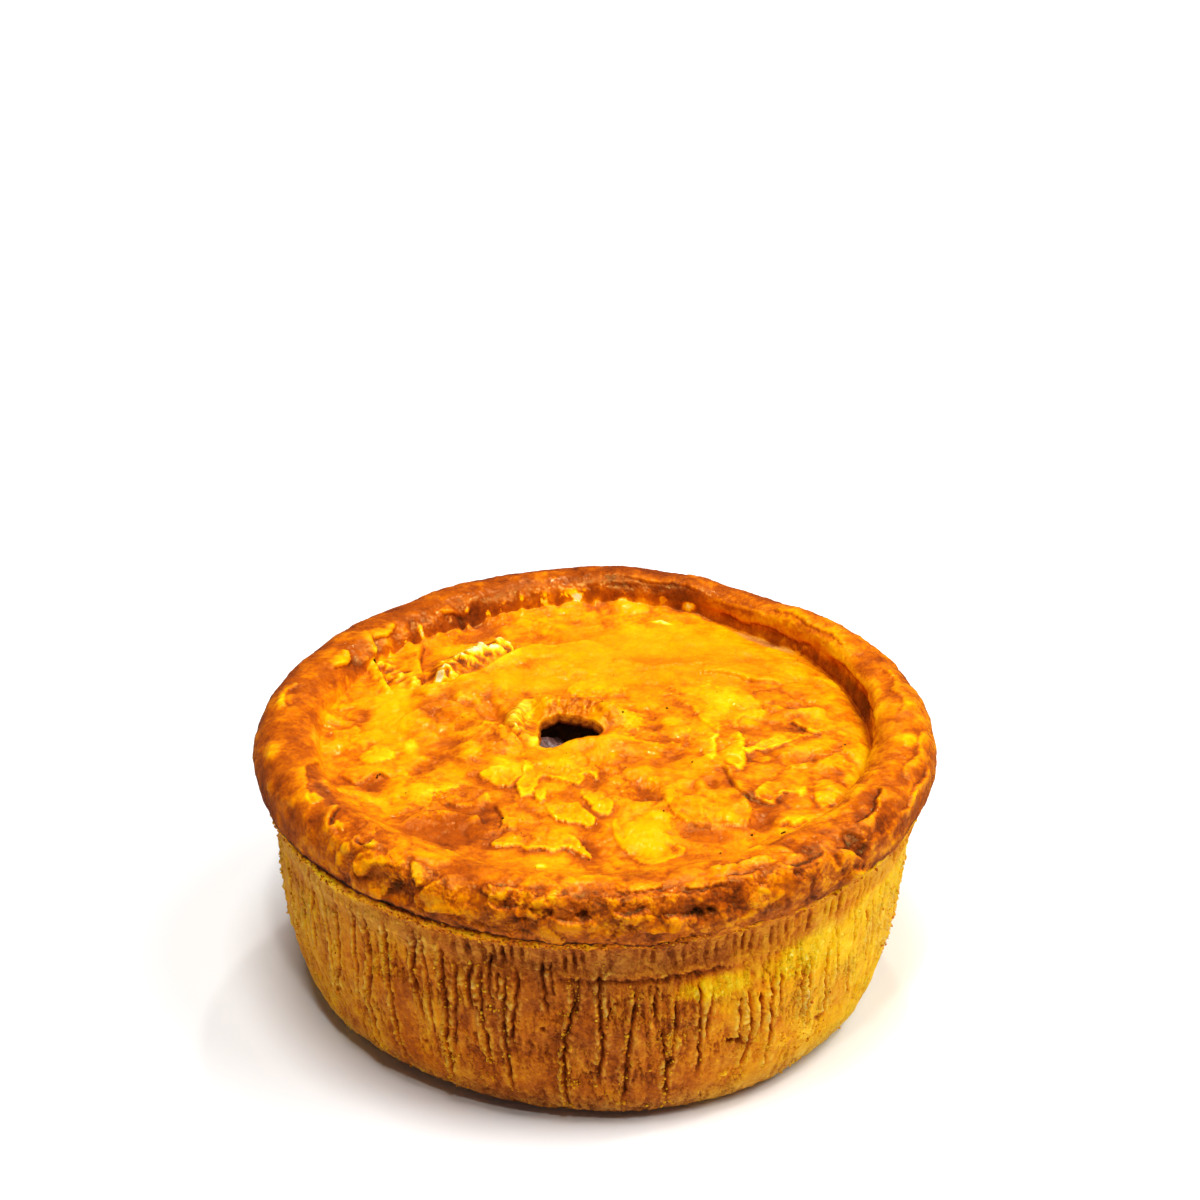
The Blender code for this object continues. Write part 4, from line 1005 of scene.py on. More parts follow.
def addCrease(plan, line, width, depth, crumbly=0.5):
    # an upright split in the wall: depth * exp(-(gap / width)^2), with raised crumbly lips beside it
    skin = plan["skin"]
    rows, gap, run = lineGap(plan, onWall(line), 0.6, 8 * width)
    end = ease(np.minimum(run, 1 - run) / 0.16)
    place = skin["base"][rows]
    strength = np.clip(0.85 + 0.5 * ripple(place, 4.0, 441), 0.3, 1.3)
    cut = np.exp(-((gap / (0.48 * width)) ** 2)) * end * strength
    lips = np.exp(-(((np.abs(gap) - 1.7 * width) / (0.8 * width)) ** 2)) * end
    lips = lips * np.where(gap > 0, 0.65, 1.0)
    broken = np.clip(0.25 + (0.4 + crumbly) * 2.4 * ripple(place, 0.9, 451), 0, 1.4)
    rise = np.exp(-((gap / (4.0 * width)) ** 2)) * end
    # the split is painted darker, as shade inside it; the lips are paler crumbly crust, partly a painted highlight
    change(skin, rows, cut, lift=-1.2 * depth, bake=0.42, gloss=-0.2)
    change(skin, rows, lips * (0.3 + broken), lift=0.34 * depth, bake=-0.22, dry=0.25)
    change(skin, rows, rise, lift=0.16 * depth)


wallCreases = [
    # line, width, depth, how crumbly its lips are
    ([(-148.5, 32), (-150, 27), (-150, 22), (-151, 18)], 0.5, 0.5, 0.3),
    ([(-144.7, 32), (-144.3, 25), (-144.2, 20), (-144.5, 14), (-145.2, 10)], 0.45, 0.7, 0.4),
    ([(-141, 32), (-141.2, 26), (-141.8, 21), (-143, 16), (-144.2, 12)], 0.45, 0.7, 0.5),
    ([(-136, 30), (-136.5, 25), (-136.6, 20), (-137.5, 14)], 0.4, 0.6, 0.4),
    ([(-133, 33), (-132.5, 27), (-133.5, 21), (-134.3, 15), (-133.8, 9), (-133.2, 5)], 0.5, 0.9, 0.6),
    ([(-128.4, 29), (-128.4, 22), (-128, 15), (-127.8, 10), (-127, 5)], 0.5, 0.9, 0.6),
    ([(-122, 32), (-123, 28), (-122.2, 23), (-121.5, 17)], 0.5, 0.9, 0.4),
    ([(-120.5, 33), (-119.8, 27), (-119.6, 20), (-119.2, 13)], 0.4, 0.5, 0.3),
    ([(-116.8, 37), (-116.8, 28), (-116.2, 20), (-117, 14), (-116.6, 9), (-117.3, 3)], 0.5, 1.0, 0.9),
    ([(-114, 34), (-114.2, 26), (-114.8, 18), (-115.5, 11)], 0.45, 0.7, 0.3),
    ([(-110.8, 33), (-111.8, 28), (-111.5, 23)], 0.6, 1.0, 0.6),
    ([(-109.2, 33), (-109.5, 26), (-109, 20), (-108.8, 16), (-108.4, 11)], 0.5, 0.9, 0.8),
    ([(-107.6, 36), (-107.7, 31), (-107.8, 26)], 0.45, 0.8, 0.3),
    ([(-106.2, 32), (-106.5, 26)], 0.4, 0.6, 0.2),
    ([(-104.9, 33), (-105.2, 26), (-105.3, 18), (-105, 11), (-104.4, 5)], 0.45, 0.8, 0.5),
    ([(-103, 34), (-103, 28), (-103.8, 22), (-104.3, 16)], 0.5, 1.0, 0.3),
    ([(-98.5, 35), (-98.2, 30), (-97.8, 24)], 0.45, 0.9, 0.2),
    ([(-97.2, 35), (-96.7, 28)], 0.4, 0.7, 0.2),
    ([(-93.5, 33), (-93.2, 27), (-94.2, 21), (-94.8, 17), (-95, 12), (-95, 7), (-94.4, 2)], 0.5, 1.0, 1.0),
    ([(-92.3, 32), (-92.7, 24)], 0.4, 0.6, 0.2),
    ([(-88.7, 35), (-89, 30), (-88.7, 25), (-88.3, 20), (-88.5, 15), (-88.8, 8)], 0.5, 1.0, 0.6),
    ([(-87.3, 30), (-87.3, 23)], 0.4, 0.6, 0.5),
    ([(-82.8, 31), (-82.8, 26), (-83.3, 22), (-84, 17), (-84.3, 12), (-84.3, 8), (-84.8, 4)], 0.5, 0.9, 0.8),
    ([(-79.3, 31), (-79.3, 26), (-79.3, 21)], 0.4, 0.7, 0.2),
    ([(-78.2, 21), (-77.3, 15), (-76.9, 11)], 0.4, 0.7, 0.3),
    ([(-76.2, 28), (-75.8, 22), (-76, 17), (-76.8, 12), (-77, 8), (-76.2, 3)], 0.45, 0.9, 1.0),
    ([(-71.6, 31), (-71.4, 25), (-71.3, 20), (-71.2, 15), (-71.3, 9)], 0.5, 0.9, 0.5),
    ([(-69, 28), (-69.8, 21), (-70, 16)], 0.5, 0.7, 0.2),
    ([(-64, 25), (-63.9, 15)], 0.4, 0.7, 0.6),
    ([(-62.8, 27), (-62, 21), (-61.5, 16), (-62.3, 12), (-63, 8)], 0.5, 1.0, 0.7),
    ([(-60.2, 25), (-59.4, 17)], 0.5, 0.7, 0.2),
    ([(-57.8, 28), (-57.8, 20), (-57.3, 15), (-57.5, 11), (-56.8, 6)], 0.5, 0.9, 0.6),
    ([(-56, 28), (-55.8, 19)], 0.4, 0.5, 0.2),
    ([(-51.5, 27), (-50.8, 21), (-50.4, 14)], 0.4, 0.7, 0.9),
    ([(-49.5, 29), (-49, 22), (-49, 16), (-48, 11)], 0.45, 0.8, 0.5),
    ([(-45.2, 29), (-44.5, 21), (-43.5, 15), (-42.4, 11)], 0.45, 0.8, 0.4),
    ([(-42.8, 31), (-41.8, 24), (-41, 17)], 0.4, 0.7, 0.3),
    ([(-38.2, 23), (-36.5, 15), (-35.4, 12)], 0.4, 0.7, 0.5),
    ([(-37.5, 31), (-36.5, 24)], 0.4, 0.5, 0.2),
    ([(-33.4, 30), (-31.5, 22), (-31, 16)], 0.4, 0.6, 0.2),
    ([(-30.5, 30), (-29.6, 22)], 0.4, 0.5, 0.2),
]
chance = np.random.default_rng(23)
degrees = -26.0
while degrees < 206:
    # the rest of the wall is creased the same way
    top = chance.uniform(27, 34)
    bottom = chance.uniform(4, 22)
    lean = chance.normal(0, 1.1)
    middle = degrees + lean / 2 + chance.normal(0, 0.4)
    line = [(degrees, top), (middle, (top + bottom) / 2), (degrees + lean, bottom)]
    wallCreases.append((line, chance.uniform(0.38, 0.55), chance.uniform(0.5, 1.0), chance.uniform(0.2, 0.9)))
    degrees += chance.choice([1.2, 2.2, 3.4, 4.8, 6.4])
for line, width, depth, crumbly in wallCreases:
    if -150 < line[0][0] < -117:
        line = [(line[0][0] + 0.4, 38.2)] + line  # at the left they run on up to the edge
    addCrease(wallPlan, line, width, depth, crumbly)

# short upright dents in the collar, painted darker as shade in them, the ledge under it with painted shade below its
# lip, and the ragged flange above
onCollar = hump((height - 35.6) / 3.6)
filledOut = around(caseFacing, [(-172, 0.8), (-140, 1.2), (-118, 0.9), (-104, 0.1), (-66, 0.0), (-45, 0.8), (-20, 1.1), (30, 0.9), (60, 0.5), (120, 0.6)])
caseSkin["lift"] += filledOut * hump((height - 35.6) / 4.4)
dents = np.cos(caseFacing * 3.3 + 5.0 * ripple(caseBase * (1, 1, 0.3), 6.0, 461) + 0.9 * caseTorn[:, 0])
dentZone = around(caseFacing, [(-170, 0.2), (-125, 0.4), (-106, 1.0), (-30, 1.0), (30, 0.8), (120, 0.6)])
dentShare = ease((-dents - 0.1) / 0.5) * np.clip(0.45 + 1.5 * cloud(caseBase * (1, 1, 0.5), 4.0, 463, 2), 0, 1.1) * dentZone
caseSkin["lift"] += onCollar * (0.16 - 0.8 * dentShare)
caseSkin["bake"] += onCollar * (0.38 * dentShare - 0.06)
ledgeShare = around(caseFacing, [(-170, 0.05), (-112, 0.1), (-100, 0.2), (-92, 0.6), (-87, 1.0), (-70, 0.9), (-62, 0.1), (-50, 0.0), (0, 0.05), (50, 0.3),
                                 (90, 0.5), (140, 0.15)])
ledgeShade = hump((height - 31.2 - 1.1 * caseTorn[:, 1]) / 0.8)
caseSkin["lift"] -= 0.45 * ledgeShade * ledgeShare
caseSkin["bake"] += 0.38 * ledgeShade * ledgeShare
ledgeLip = hump((height - 32.7 - 1.5 * caseTorn[:, 0]) / 0.7) * (0.2 + 0.8 * ledgeShare) * np.clip(0.5 + 1.6 * ripple(caseBase, 2.0, 467), 0.0, 1.5)
caseSkin["bake"] -= 0.22 * ledgeLip
caseSkin["lift"] += 0.3 * ledgeLip

# the crumbly edge that stands out under the rim
flange = ease((height - around(caseFacing, [(-160, 38.9), (-130, 38.2), (-80, 38.0), (-60, 38.9)]) - 0.6 * caseTorn[:, 0]) / 0.6)
flangeGap, flangeOwner = scatter(caseBase, 1.1, 471)
flangeCrumb = ease(1 - flangeGap / (0.3 + 0.3 * flangeOwner)) * flange
caseSkin["lift"] += flange * (0.35 * cloud(caseBase, 2.0, 473, 4, 0.6) + 0.2) + 0.55 * flangeCrumb
caseSkin["bake"] += flange * (0.3 * cloud(caseBase, 1.6, 475, 3) - 0.04) - 0.12 * flangeCrumb
caseSkin["dry"] -= 0.75 * flange
# the seam under the rim is painted dark, as shade in the gap
seam = ease((height - 40.1 - 0.2 * caseTorn[:, 1]) / 0.3)
caseSkin["bake"] += 0.7 * seam * around(caseFacing, [(-172, 0.6), (-160, 1.0), (-80, 1.0), (-68, 0.6), (-50, 0.3), (150, 0.4)])
# the edge pokes out past the rim at the far left
poke = hump((caseFacing + 157) / 9) * hump((height - 39.0) / 2.6)
caseSkin["lift"] += 3.0 * poke * (0.8 + 0.6 * ripple(caseBase, 2.0, 477))
caseSkin["bake"] += poke * (0.10 + 0.3 * ripple(caseBase, 1.6, 479))
caseSkin["dry"] += 0.7 * poke
caseSkin["flaky"] = np.clip(0.35 + 0.5 * low + 0.3 * wallTop + 0.5 * wrinkleZone * (wrinkle < 0.2), 0, 1)

wallPatches = [
    # degrees, height, half size in mm, turn, edge, rag, lift, bake, dry, gloss
    # the first three paint a pale band high on the right front wall: painted highlight
    ((-69, 28), (9.0, 3.0), 0, 0.5, 0.6, 0.2, -0.30, -0.3, 0.1),
    ((-50, 28), (12.0, 4.5), 0, 0.7, 0.6, 0.3, -0.26, -0.4, 0.1),
    ((-40, 26), (10.0, 6.0), 0, 0.9, 0.6, 0.1, -0.12, -0.3, 0),
    ((-76, 18.6), (1.8, 3.2), 0, 0.6, 0.5, 0.2, -0.22, 0, 0),
    ((-47, 10.5), (4.6, 2.2), -14, 0.6, 0.8, 0.3, -0.20, 0, 0),
    ((-54, 11), (2.8, 1.6), 0, 0.6, 0.8, 0.2, -0.14, 0, 0),
    # the next four sunk pits are painted dark inside, as shade in them
    ((-44, 11.8), (2.0, 1.0), -20, 0.5, 0.4, -0.5, 0.30, 0, 0),
    ((-65.6, 15.8), (0.9, 0.7), 0, 0.5, 0.4, -0.9, 0.45, 0, 0),
    ((-63.9, 15.6), (0.8, 0.9), 0, 0.5, 0.4, -1.0, 0.5, 0, 0),
    ((-60.2, 23.5), (0.6, 1.1), 0, 0.5, 0.3, -0.9, 0.45, 0, 0),
    ((-66, 8.4), (0.9, 0.5), -10, 0.5, 0.2, 0.5, -0.3, 0, 0),
    # these two sunk pits are painted dark inside too, as shade in them
    ((-98.6, 21), (0.7, 0.6), 0, 0.5, 0.3, -0.6, 0.3, 0, 0),
    ((-98, 15.5), (0.7, 0.7), 0, 0.5, 0.3, -0.6, 0.3, 0, 0),
    ((-78, 39.0), (5.0, 1.2), 0, 0.6, 0.6, 0.1, 0.20, -0.2, 0),
    ((-105, 39.4), (16.0, 1.2), 0, 0.6, 0.6, 0.2, -0.08, -0.2, 0),
    ((-140, 38.8), (10.0, 2.0), 0, 0.7, 0.6, 0.4, -0.22, -0.2, 0),
    ((-90, 39.0), (30.0, 2.4), 0, 0.8, 0.6, 0.0, 0.0, 0, 0),
]
for (degrees, height), size, turn, edge, rag, lift, bake, dry, gloss in wallPatches:
    at = onWall([(degrees, height)])[0]
    addSpot(wallPlan, at, size, turn, edge, rag, lift=lift, bake=bake, dry=dry, gloss=gloss)

caseSkin["bake"] = np.maximum(caseSkin["bake"], 0.12)

# the wall stays flat where the pie stands
caseSkin["lift"] *= ease(caseSkin["height"] / 1.4)
caseSkin["lift"] *= ease((41.1 - caseSkin["height"]) / 0.5) * 0.9 + 0.1


def colour(hexCode):
    # sRGB hex to the linear colour that nodes take
    channels = [int(hexCode[i:i + 2], 16) / 255 for i in (1, 3, 5)]
    linear = [c / 12.92 if c <= 0.04045 else ((c + 0.055) / 1.055) ** 2.4 for c in channels]
    return (*linear, 1.0)


def addNode(tree, kind, settings=None, links=None):
    # adds a node, sets its properties and inputs, and links its inputs from other nodes' outputs
    node = tree.nodes.new(kind)
    for key, value in (settings or {}).items():
        if isinstance(key, str) and hasattr(node, key):
            setattr(node, key, value)
        else:
            node.inputs[key].default_value = value
    for key, output in (links or {}).items():
        tree.links.new(output, node.inputs[key])
    return node


def setRamp(node, stops):
    ramp = node.color_ramp
    while len(ramp.elements) > 1:
        ramp.elements.remove(ramp.elements[-1])
    ramp.elements[0].position = stops[0][0]
    ramp.elements[0].color = colour(stops[0][1])
    for position, hexCode in stops[1:]:
        ramp.elements.new(position).color = colour(hexCode)


def makeCrust(name, settings):
    # baked pastry: bake picks the colour from pale to burnt, dry fades it to bare crumb, gloss is egg wash,
    # flaky is how much of the fine crumb and of the small torn scales shows
    material = bpy.data.materials.new(name)
    material.use_nodes = True
    tree = material.node_tree
    shader = tree.nodes["Principled BSDF"]
    place = addNode(tree, "ShaderNodeTexCoord").outputs["Object"]
    bake, dry, gloss, flaky = (addNode(tree, "ShaderNodeAttribute", {"attribute_name": key}).outputs["Fac"]
                               for key in ("bake", "dry", "gloss", "flaky"))
    mottle = addNode(tree, "ShaderNodeTexNoise", {"Scale": 1000 / settings["mottleMm"], "Detail": 4.0, "Roughness": 0.6},
                     {"Vector": place}).outputs["Fac"]
    grain = addNode(tree, "ShaderNodeTexNoise", {"Scale": 1000 / settings["grainMm"], "Detail": 3.0, "Roughness": 0.65},
                    {"Vector": place}).outputs["Fac"]
    scale = addNode(tree, "ShaderNodeTexNoise", {"Scale": 1000 / settings["scaleMm"], "Detail": 3.0, "Distortion": 1.4},
                    {"Vector": place}).outputs["Fac"]
    scaleEdge = addNode(tree, "ShaderNodeMapRange", {"interpolation_type": "SMOOTHSTEP", "From Min": 0.47, "From Max": 0.53},
                        {"Value": scale}).outputs[0]
    scales = addNode(tree, "ShaderNodeMath", {"operation": "MULTIPLY"}, {0: scaleEdge, 1: flaky}).outputs[0]
    crumb = addNode(tree, "ShaderNodeMath", {"operation": "MULTIPLY"}, {0: grain, 1: flaky}).outputs[0]
    # total = bake + mottle * its share + crumb * its share - scales * theirs, each noise about its mean
    total = bake
    for noise, share, mean in ((mottle, settings["mottle"], 0.5), (grain, settings["grain"], 0.5),
                               (scales, -settings["scales"], 0.2)):
        shift = addNode(tree, "ShaderNodeMath", {"operation": "MULTIPLY_ADD", 1: share, 2: -mean * share}, {0: noise}).outputs[0]
        total = addNode(tree, "ShaderNodeMath", {"operation": "ADD"}, {0: total, 1: shift}).outputs[0]
    glazed = addNode(tree, "ShaderNodeValToRGB", None, {"Fac": total})
    setRamp(glazed, settings["glazed"])
    bare = addNode(tree, "ShaderNodeValToRGB", None, {"Fac": total})
    setRamp(bare, settings["bare"])
    mixed = addNode(tree, "ShaderNodeMix", {"data_type": "RGBA"},
                    {"Factor": dry, 6: glazed.outputs[0], 7: bare.outputs[0]}).outputs[2]
    tree.links.new(mixed, shader.inputs["Base Color"])
    rough = addNode(tree, "ShaderNodeMapRange", {"To Min": settings["matt"], "To Max": settings["glazedRough"]},
                    {"Value": gloss}).outputs[0]
    roughNoise = addNode(tree, "ShaderNodeMath", {"operation": "MULTIPLY_ADD", 1: 0.16}, {0: crumb, 2: rough}).outputs[0]
    tree.links.new(roughNoise, shader.inputs["Roughness"])
    # thick glaze fills the fine bumps
    fill = addNode(tree, "ShaderNodeMapRange", {"From Min": 0.4, "To Min": 1.0, "To Max": 0.4}, {"Value": gloss}).outputs[0]
    normal = None
    for height, depthMm in ((mottle, settings["mottleDeep"]), (scales, settings["scaleDeep"]), (crumb, settings["grainDeep"])):
        links = {"Height": height, "Strength": fill}
        if normal:
            links["Normal"] = normal
        normal = addNode(tree, "ShaderNodeBump", {"Distance": depthMm * metre}, links).outputs[0]
    tree.links.new(normal, shader.inputs["Normal"])
    shader.inputs["Specular IOR Level"].default_value = settings["specular"]
    shader.inputs["Specular Tint"].default_value = colour("#ffd262")  # butter in the glaze warms its shine
    shader.inputs["IOR"].default_value = 1.45
    return material


# egg-washed hot-water crust, oven baked: butter yellow through amber to burnt brown, faintly glossy
glazedStops = [(0.0, "#fff2bc"), (0.04, "#ffe668"), (0.10, "#fdd01a"), (0.22, "#f8b803"), (0.38, "#ef9d02"), (0.50, "#e18103"),
               (0.60, "#cb6405"), (0.70, "#aa4a09"), (0.80, "#80330b"), (0.90, "#50200a"), (1.0, "#220d05")]
# the same crust without glaze, baked against the tin: dull straw through tan to brown
bareStops = [(0.0, "#f4cf86"), (0.2, "#e2ae5a"), (0.38, "#cb8c44"), (0.54, "#ab6c36"), (0.68, "#864a24"),
             (0.82, "#562c14"), (1.0, "#1e0e06")]
lidFinish = {"glazed": glazedStops, "bare": bareStops, "mottleMm": 1.9, "mottle": 0.10, "mottleDeep": 0.14,
             "grainMm": 0.5, "grain": 0.12, "grainDeep": 0.20, "scaleMm": 1.6, "scales": 0.09, "scaleDeep": 0.10,
             "matt": 0.42, "glazedRough": 0.10, "specular": 0.42}
rimFinish = dict(lidFinish, mottle=0.15, grain=0.16)
caseFinish = dict(lidFinish, mottleMm=1.8, mottle=0.22, mottleDeep=0.24, grain=0.24, grainDeep=0.3, scales=0.12, scaleDeep=0.2, matt=0.62,
                  glazedRough=0.40, specular=0.2)
lidMaterial = makeCrust("egg_washed_hot_water_crust", lidFinish)
rimMaterial = makeCrust("hand_rolled_browned_crust", rimFinish)
caseMaterial = makeCrust("tin_baked_crust", caseFinish)


def makeMeat():
    # cooked minced pork: grey-pink to mauve, moist
    material = bpy.data.materials.new("cooked_minced_pork")
    material.use_nodes = True
    tree = material.node_tree
    shader = tree.nodes["Principled BSDF"]
    place = addNode(tree, "ShaderNodeTexCoord").outputs["Object"]
    speck = addNode(tree, "ShaderNodeTexNoise", {"Scale": 900.0, "Detail": 4.0, "Roughness": 0.7}, {"Vector": place})
    ramp = addNode(tree, "ShaderNodeValToRGB", None, {"Fac": speck.outputs["Fac"]})
    setRamp(ramp, [(0.25, "#2a1613"), (0.5, "#5c3b34"), (0.75, "#8c6258")])
    tree.links.new(ramp.outputs[0], shader.inputs["Base Color"])
    bump = addNode(tree, "ShaderNodeBump", {"Strength": 0.5, "Distance": 0.0003}, {"Height": speck.outputs["Fac"]})
    tree.links.new(bump.outputs[0], shader.inputs["Normal"])
    shader.inputs["Roughness"].default_value = 0.38
    return material


meatMaterial = makeMeat()
print("materials made")


def ringFaces(rowCount, count, start=0):
    # squares between neighbouring rows, closed round the pie, facing out when rows go downwards
    row = np.arange(rowCount - 1)[:, None] * count
    column = np.arange(count)[None, :]
    after = (column + 1) % count
    corners = np.stack([row + column, row + count + column, row + count + after, row + after], axis=-1)
    return corners.reshape(-1, 4) + start


def joinRings(upper, lower):
    # squares between two rings of vertex numbers of the same length
    return np.stack([upper, lower, np.roll(lower, -1), np.roll(upper, -1)], axis=1)


def thinRing(wide, narrow):
    # triangles between a ring and one with half as many vertices
    a0, a1, a2 = wide[0::2], wide[1::2], np.roll(wide[0::2], -1)
    b0, b1 = narrow, np.roll(narrow, -1)
    return np.concatenate([np.stack([a0, b0, a1], 1), np.stack([a1, b0, b1], 1), np.stack([a1, b1, a2], 1)])


def addClosing(points, faces, ring, rings):
    # hidden surfaces: from a ring of vertices on, over further (scale, centre, height) rings, halving where asked
    thin = []
    for kind, newPoints in rings:
        start = sum(len(p) for p in points)
        points.append(newPoints)
        new = np.arange(start, start + len(newPoints))
        if kind == "same":
            faces.append(joinRings(ring, new))
        else:
            thin.append(thinRing(ring, new))
        ring = new
    return ring, thin


def vertexNormals(points, faces):
    # the mean direction of the faces round each vertex
    a, b, c, d = (points[faces[:, k]] for k in range(4))
    flat = np.cross(c - a, d - b)
    normals = np.zeros_like(points)
    for k in range(4):
        for axis in range(3):
            normals[:, axis] += np.bincount(faces[:, k], flat[:, axis], len(points))
    return normals / np.maximum(np.linalg.norm(normals, axis=1, keepdims=True), 1e-12)


def makeMesh(name, points, squares, triangles, values, normals, material):
    # puts points in mm and faces into a mesh at the origin; points that no face uses are left out
    used, corners = np.unique(np.concatenate([squares.ravel(), triangles.ravel()]), return_inverse=True)
    starts = np.concatenate([np.arange(len(squares)) * 4, len(squares) * 4 + np.arange(len(triangles)) * 3])
    mesh = bpy.data.meshes.new(name)
    mesh.vertices.add(len(used))
    mesh.vertices.foreach_set("co", (points[used] * metre).astype(np.float32).ravel())
    mesh.loops.add(len(corners))
    mesh.loops.foreach_set("vertex_index", corners.astype(np.int32))
    mesh.polygons.add(len(starts))
    mesh.polygons.foreach_set("loop_start", starts.astype(np.int32))
    mesh.update(calc_edges=True)
    mesh.validate()
    mesh.shade_smooth()
    for key, value in values.items():
        full = np.full(len(points), hiddenSkin.get(key, 0.0), np.float32)
        full[: len(value)] = value
        mesh.attributes.new(key, "FLOAT", "POINT").data.foreach_set("value", full[used])
    if normals is not None:
        mesh.normals_split_custom_set_from_vertices(normals[used])
    mesh.materials.append(material)
    piece = bpy.data.objects.new(name, mesh)
    bpy.context.scene.collection.objects.link(piece)
    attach(piece, "root")
    return piece


hiddenSkin = {"bake": 0.46, "dry": 0.5, "gloss": 0.1, "flaky": 0.3}  # what the undersides are like
noTriangles = np.zeros((0, 3), int)


def skinValues(skin, rows):
    # what each point of a skin is like, kept from 0 to 1; the darkest browns are held back
    bake = skin["bake"][rows]
    bake = np.where(bake > 0.66, 0.66 + 0.34 * np.tanh((bake - 0.66) / 0.62), bake)
    bake = np.where(bake < 0.18, 0.18 - 0.18 * np.tanh((0.18 - bake) / 0.34), bake)
    values = {"bake": np.clip(bake, 0, 1)}
    for name in ("dry", "gloss", "flaky"):
        values[name] = np.clip(skin[name][rows], 0, 1)
    return values


topPoints = shaped(topSkin)
lidCount = topSkin["lidCount"]
lidFaces = discFaces(lidShape["holeRing"], lidShape["rings"])
rimFaces = ringFaces(rimSection["rows"], columns)
# the rim's first row is the lid's last ring, so their directions are worked out together
sharedFirst = lidCount - columns
rimIndex = np.concatenate([np.arange(sharedFirst, lidCount), np.arange(lidCount + columns, len(topPoints))])
topPoints[lidCount:lidCount + columns] = topPoints[sharedFirst:lidCount]
joined = np.concatenate([lidFaces, rimIndex[rimFaces]])
topNormals = vertexNormals(topPoints, joined)
topNormals[lidCount:lidCount + columns] = topNormals[sharedFirst:lidCount]


def circle(count, radiusX, radiusY, height, centre=(0.0, 0.0)):
    degrees = np.radians(-135 + 360 * np.arange(count) / count)
    return np.stack([centre[0] + radiusX * np.cos(degrees), centre[1] + radiusY * np.sin(degrees),
                     np.full(count, height)], axis=1)


def makeLid():
    # the lid: its top, the hole's wall going down, and a plain hidden underside that closes it
    holeCount = 8 * lidShape["holeRing"]
    points = [topPoints[:lidCount]]
    faces = [lidFaces]
    top = topPoints[:holeCount]
    centre = steamHole["centre"]
    depth = np.linspace(0, 1, steamHole["wallRows"] + 1)[1:]
    wallPoints = []
    topHeight = top[:, 2]
    cutHeight = topHeight - steamHole["crust"] + 0.5 * ripple(top, 3.0, 505)
    for share in depth:
        # the crust's cut edge draws in a little, then the hollow under it opens out again
        height = topHeight + (steamHole["floor"] - 0.8 - topHeight) * share
        below = ease((cutHeight - height) / 0.8)
        shrink = 1 - 0.08 * ease((topHeight - height) / 1.6) + 0.30 * below
        ring = top.copy()
        ring[:, 0] = centre[0] + (top[:, 0] - centre[0]) * shrink
        ring[:, 1] = centre[1] + (top[:, 1] - centre[1]) * shrink
        ring[:, 2] = height
        rough = (0.30 * ripple(ring, 1.5, 501) + 0.14 * ripple(ring, 0.7, 503)) * ease(share * 5)
        ring[:, 0] += rough * np.cos(np.radians(ringAngles(lidShape["holeRing"])))
        ring[:, 1] += rough * np.sin(np.radians(ringAngles(lidShape["holeRing"])))
        wallPoints.append(ring)
    wallPoints = np.concatenate(wallPoints)
    points.append(wallPoints)
    wallStart = lidCount
    wallRows = np.arange(steamHole["wallRows"] * holeCount).reshape(-1, holeCount) + wallStart
    upper = np.arange(holeCount)
    for row in wallRows:
        faces.append(joinRings(row, upper))
        upper = row
    outer = np.arange(lidCount - columns, lidCount)
    edge = topPoints[outer]
    under = edge.copy()
    under[:, :2] *= 0.985
    under[:, 2] = edge[:, 2] - 1.5
    last, thin = addClosing(points, faces, outer, [
        ("same", under),
        ("same", circle(columns, 46.0, 46.0, 40.5)),
        ("half", circle(columns // 2, 36.0, 36.0, 39.0)),
        ("half", circle(columns // 4, 22.0, 22.0, 38.7)),
        ("half", circle(columns // 8, 10.0, 10.0, 38.7)),
    ])
    faces.append(joinRings(last, wallRows[-1]))
    values = skinValues(topSkin, np.arange(lidCount))
    fallen = np.tile(topHeight, steamHole["wallRows"]) - wallPoints[:, 2]
    below = ease((np.tile(cutHeight, steamHole["wallRows"]) - wallPoints[:, 2]) / 0.8)
    edgeBake = np.tile(values["bake"][:holeCount], steamHole["wallRows"])
    grainy = 0.14 * ripple(wallPoints, 0.9, 511)
    inner = edgeBake * (1 - ease(fallen / 0.8)) + 0.66 * ease(fallen / 0.8) + grainy
    # below the crust's cut the hole's wall is painted dark, as shade in the hollow
    values["bake"] = np.concatenate([values["bake"], np.clip(inner + 0.45 * below, 0, 1)])
    values["dry"] = np.concatenate([values["dry"], ease(fallen / 1.4) * 0.3])
    values["gloss"] = np.concatenate([values["gloss"], 0.3 + 0 * fallen])
    values["flaky"] = np.concatenate([values["flaky"], 0.6 + 0 * fallen])
    allPoints = np.concatenate(points)
    allFaces = np.concatenate(faces)
    triangles = np.concatenate(thin)
    normals = vertexNormals(allPoints, allFaces)
    normals[:lidCount] = topNormals[:lidCount]
    visible = 1 + steamHole["wallRows"]
    holeEdge = vertexNormals(allPoints, np.concatenate(faces[:visible]))
    normals[:holeCount] = holeEdge[:holeCount]
    # the middle, with the hole's wall, and the outer part with the underside are two pieces
    splitCount = 4 * lidShape["splitRing"] * (lidShape["splitRing"] + 1) - 4 * lidShape["holeRing"] * (lidShape["holeRing"] - 1)
    isMiddle = (lidFaces < splitCount).all(axis=1)
    middle = np.concatenate([lidFaces[isMiddle]] + faces[1:visible])
    outside = np.concatenate([lidFaces[~isMiddle]] + faces[visible:])
    return [makeMesh("lid_crust_middle", allPoints, middle, noTriangles, values, normals, lidMaterial),
            makeMesh("lid_crust_edge", allPoints, outside, triangles, values, normals, lidMaterial)]


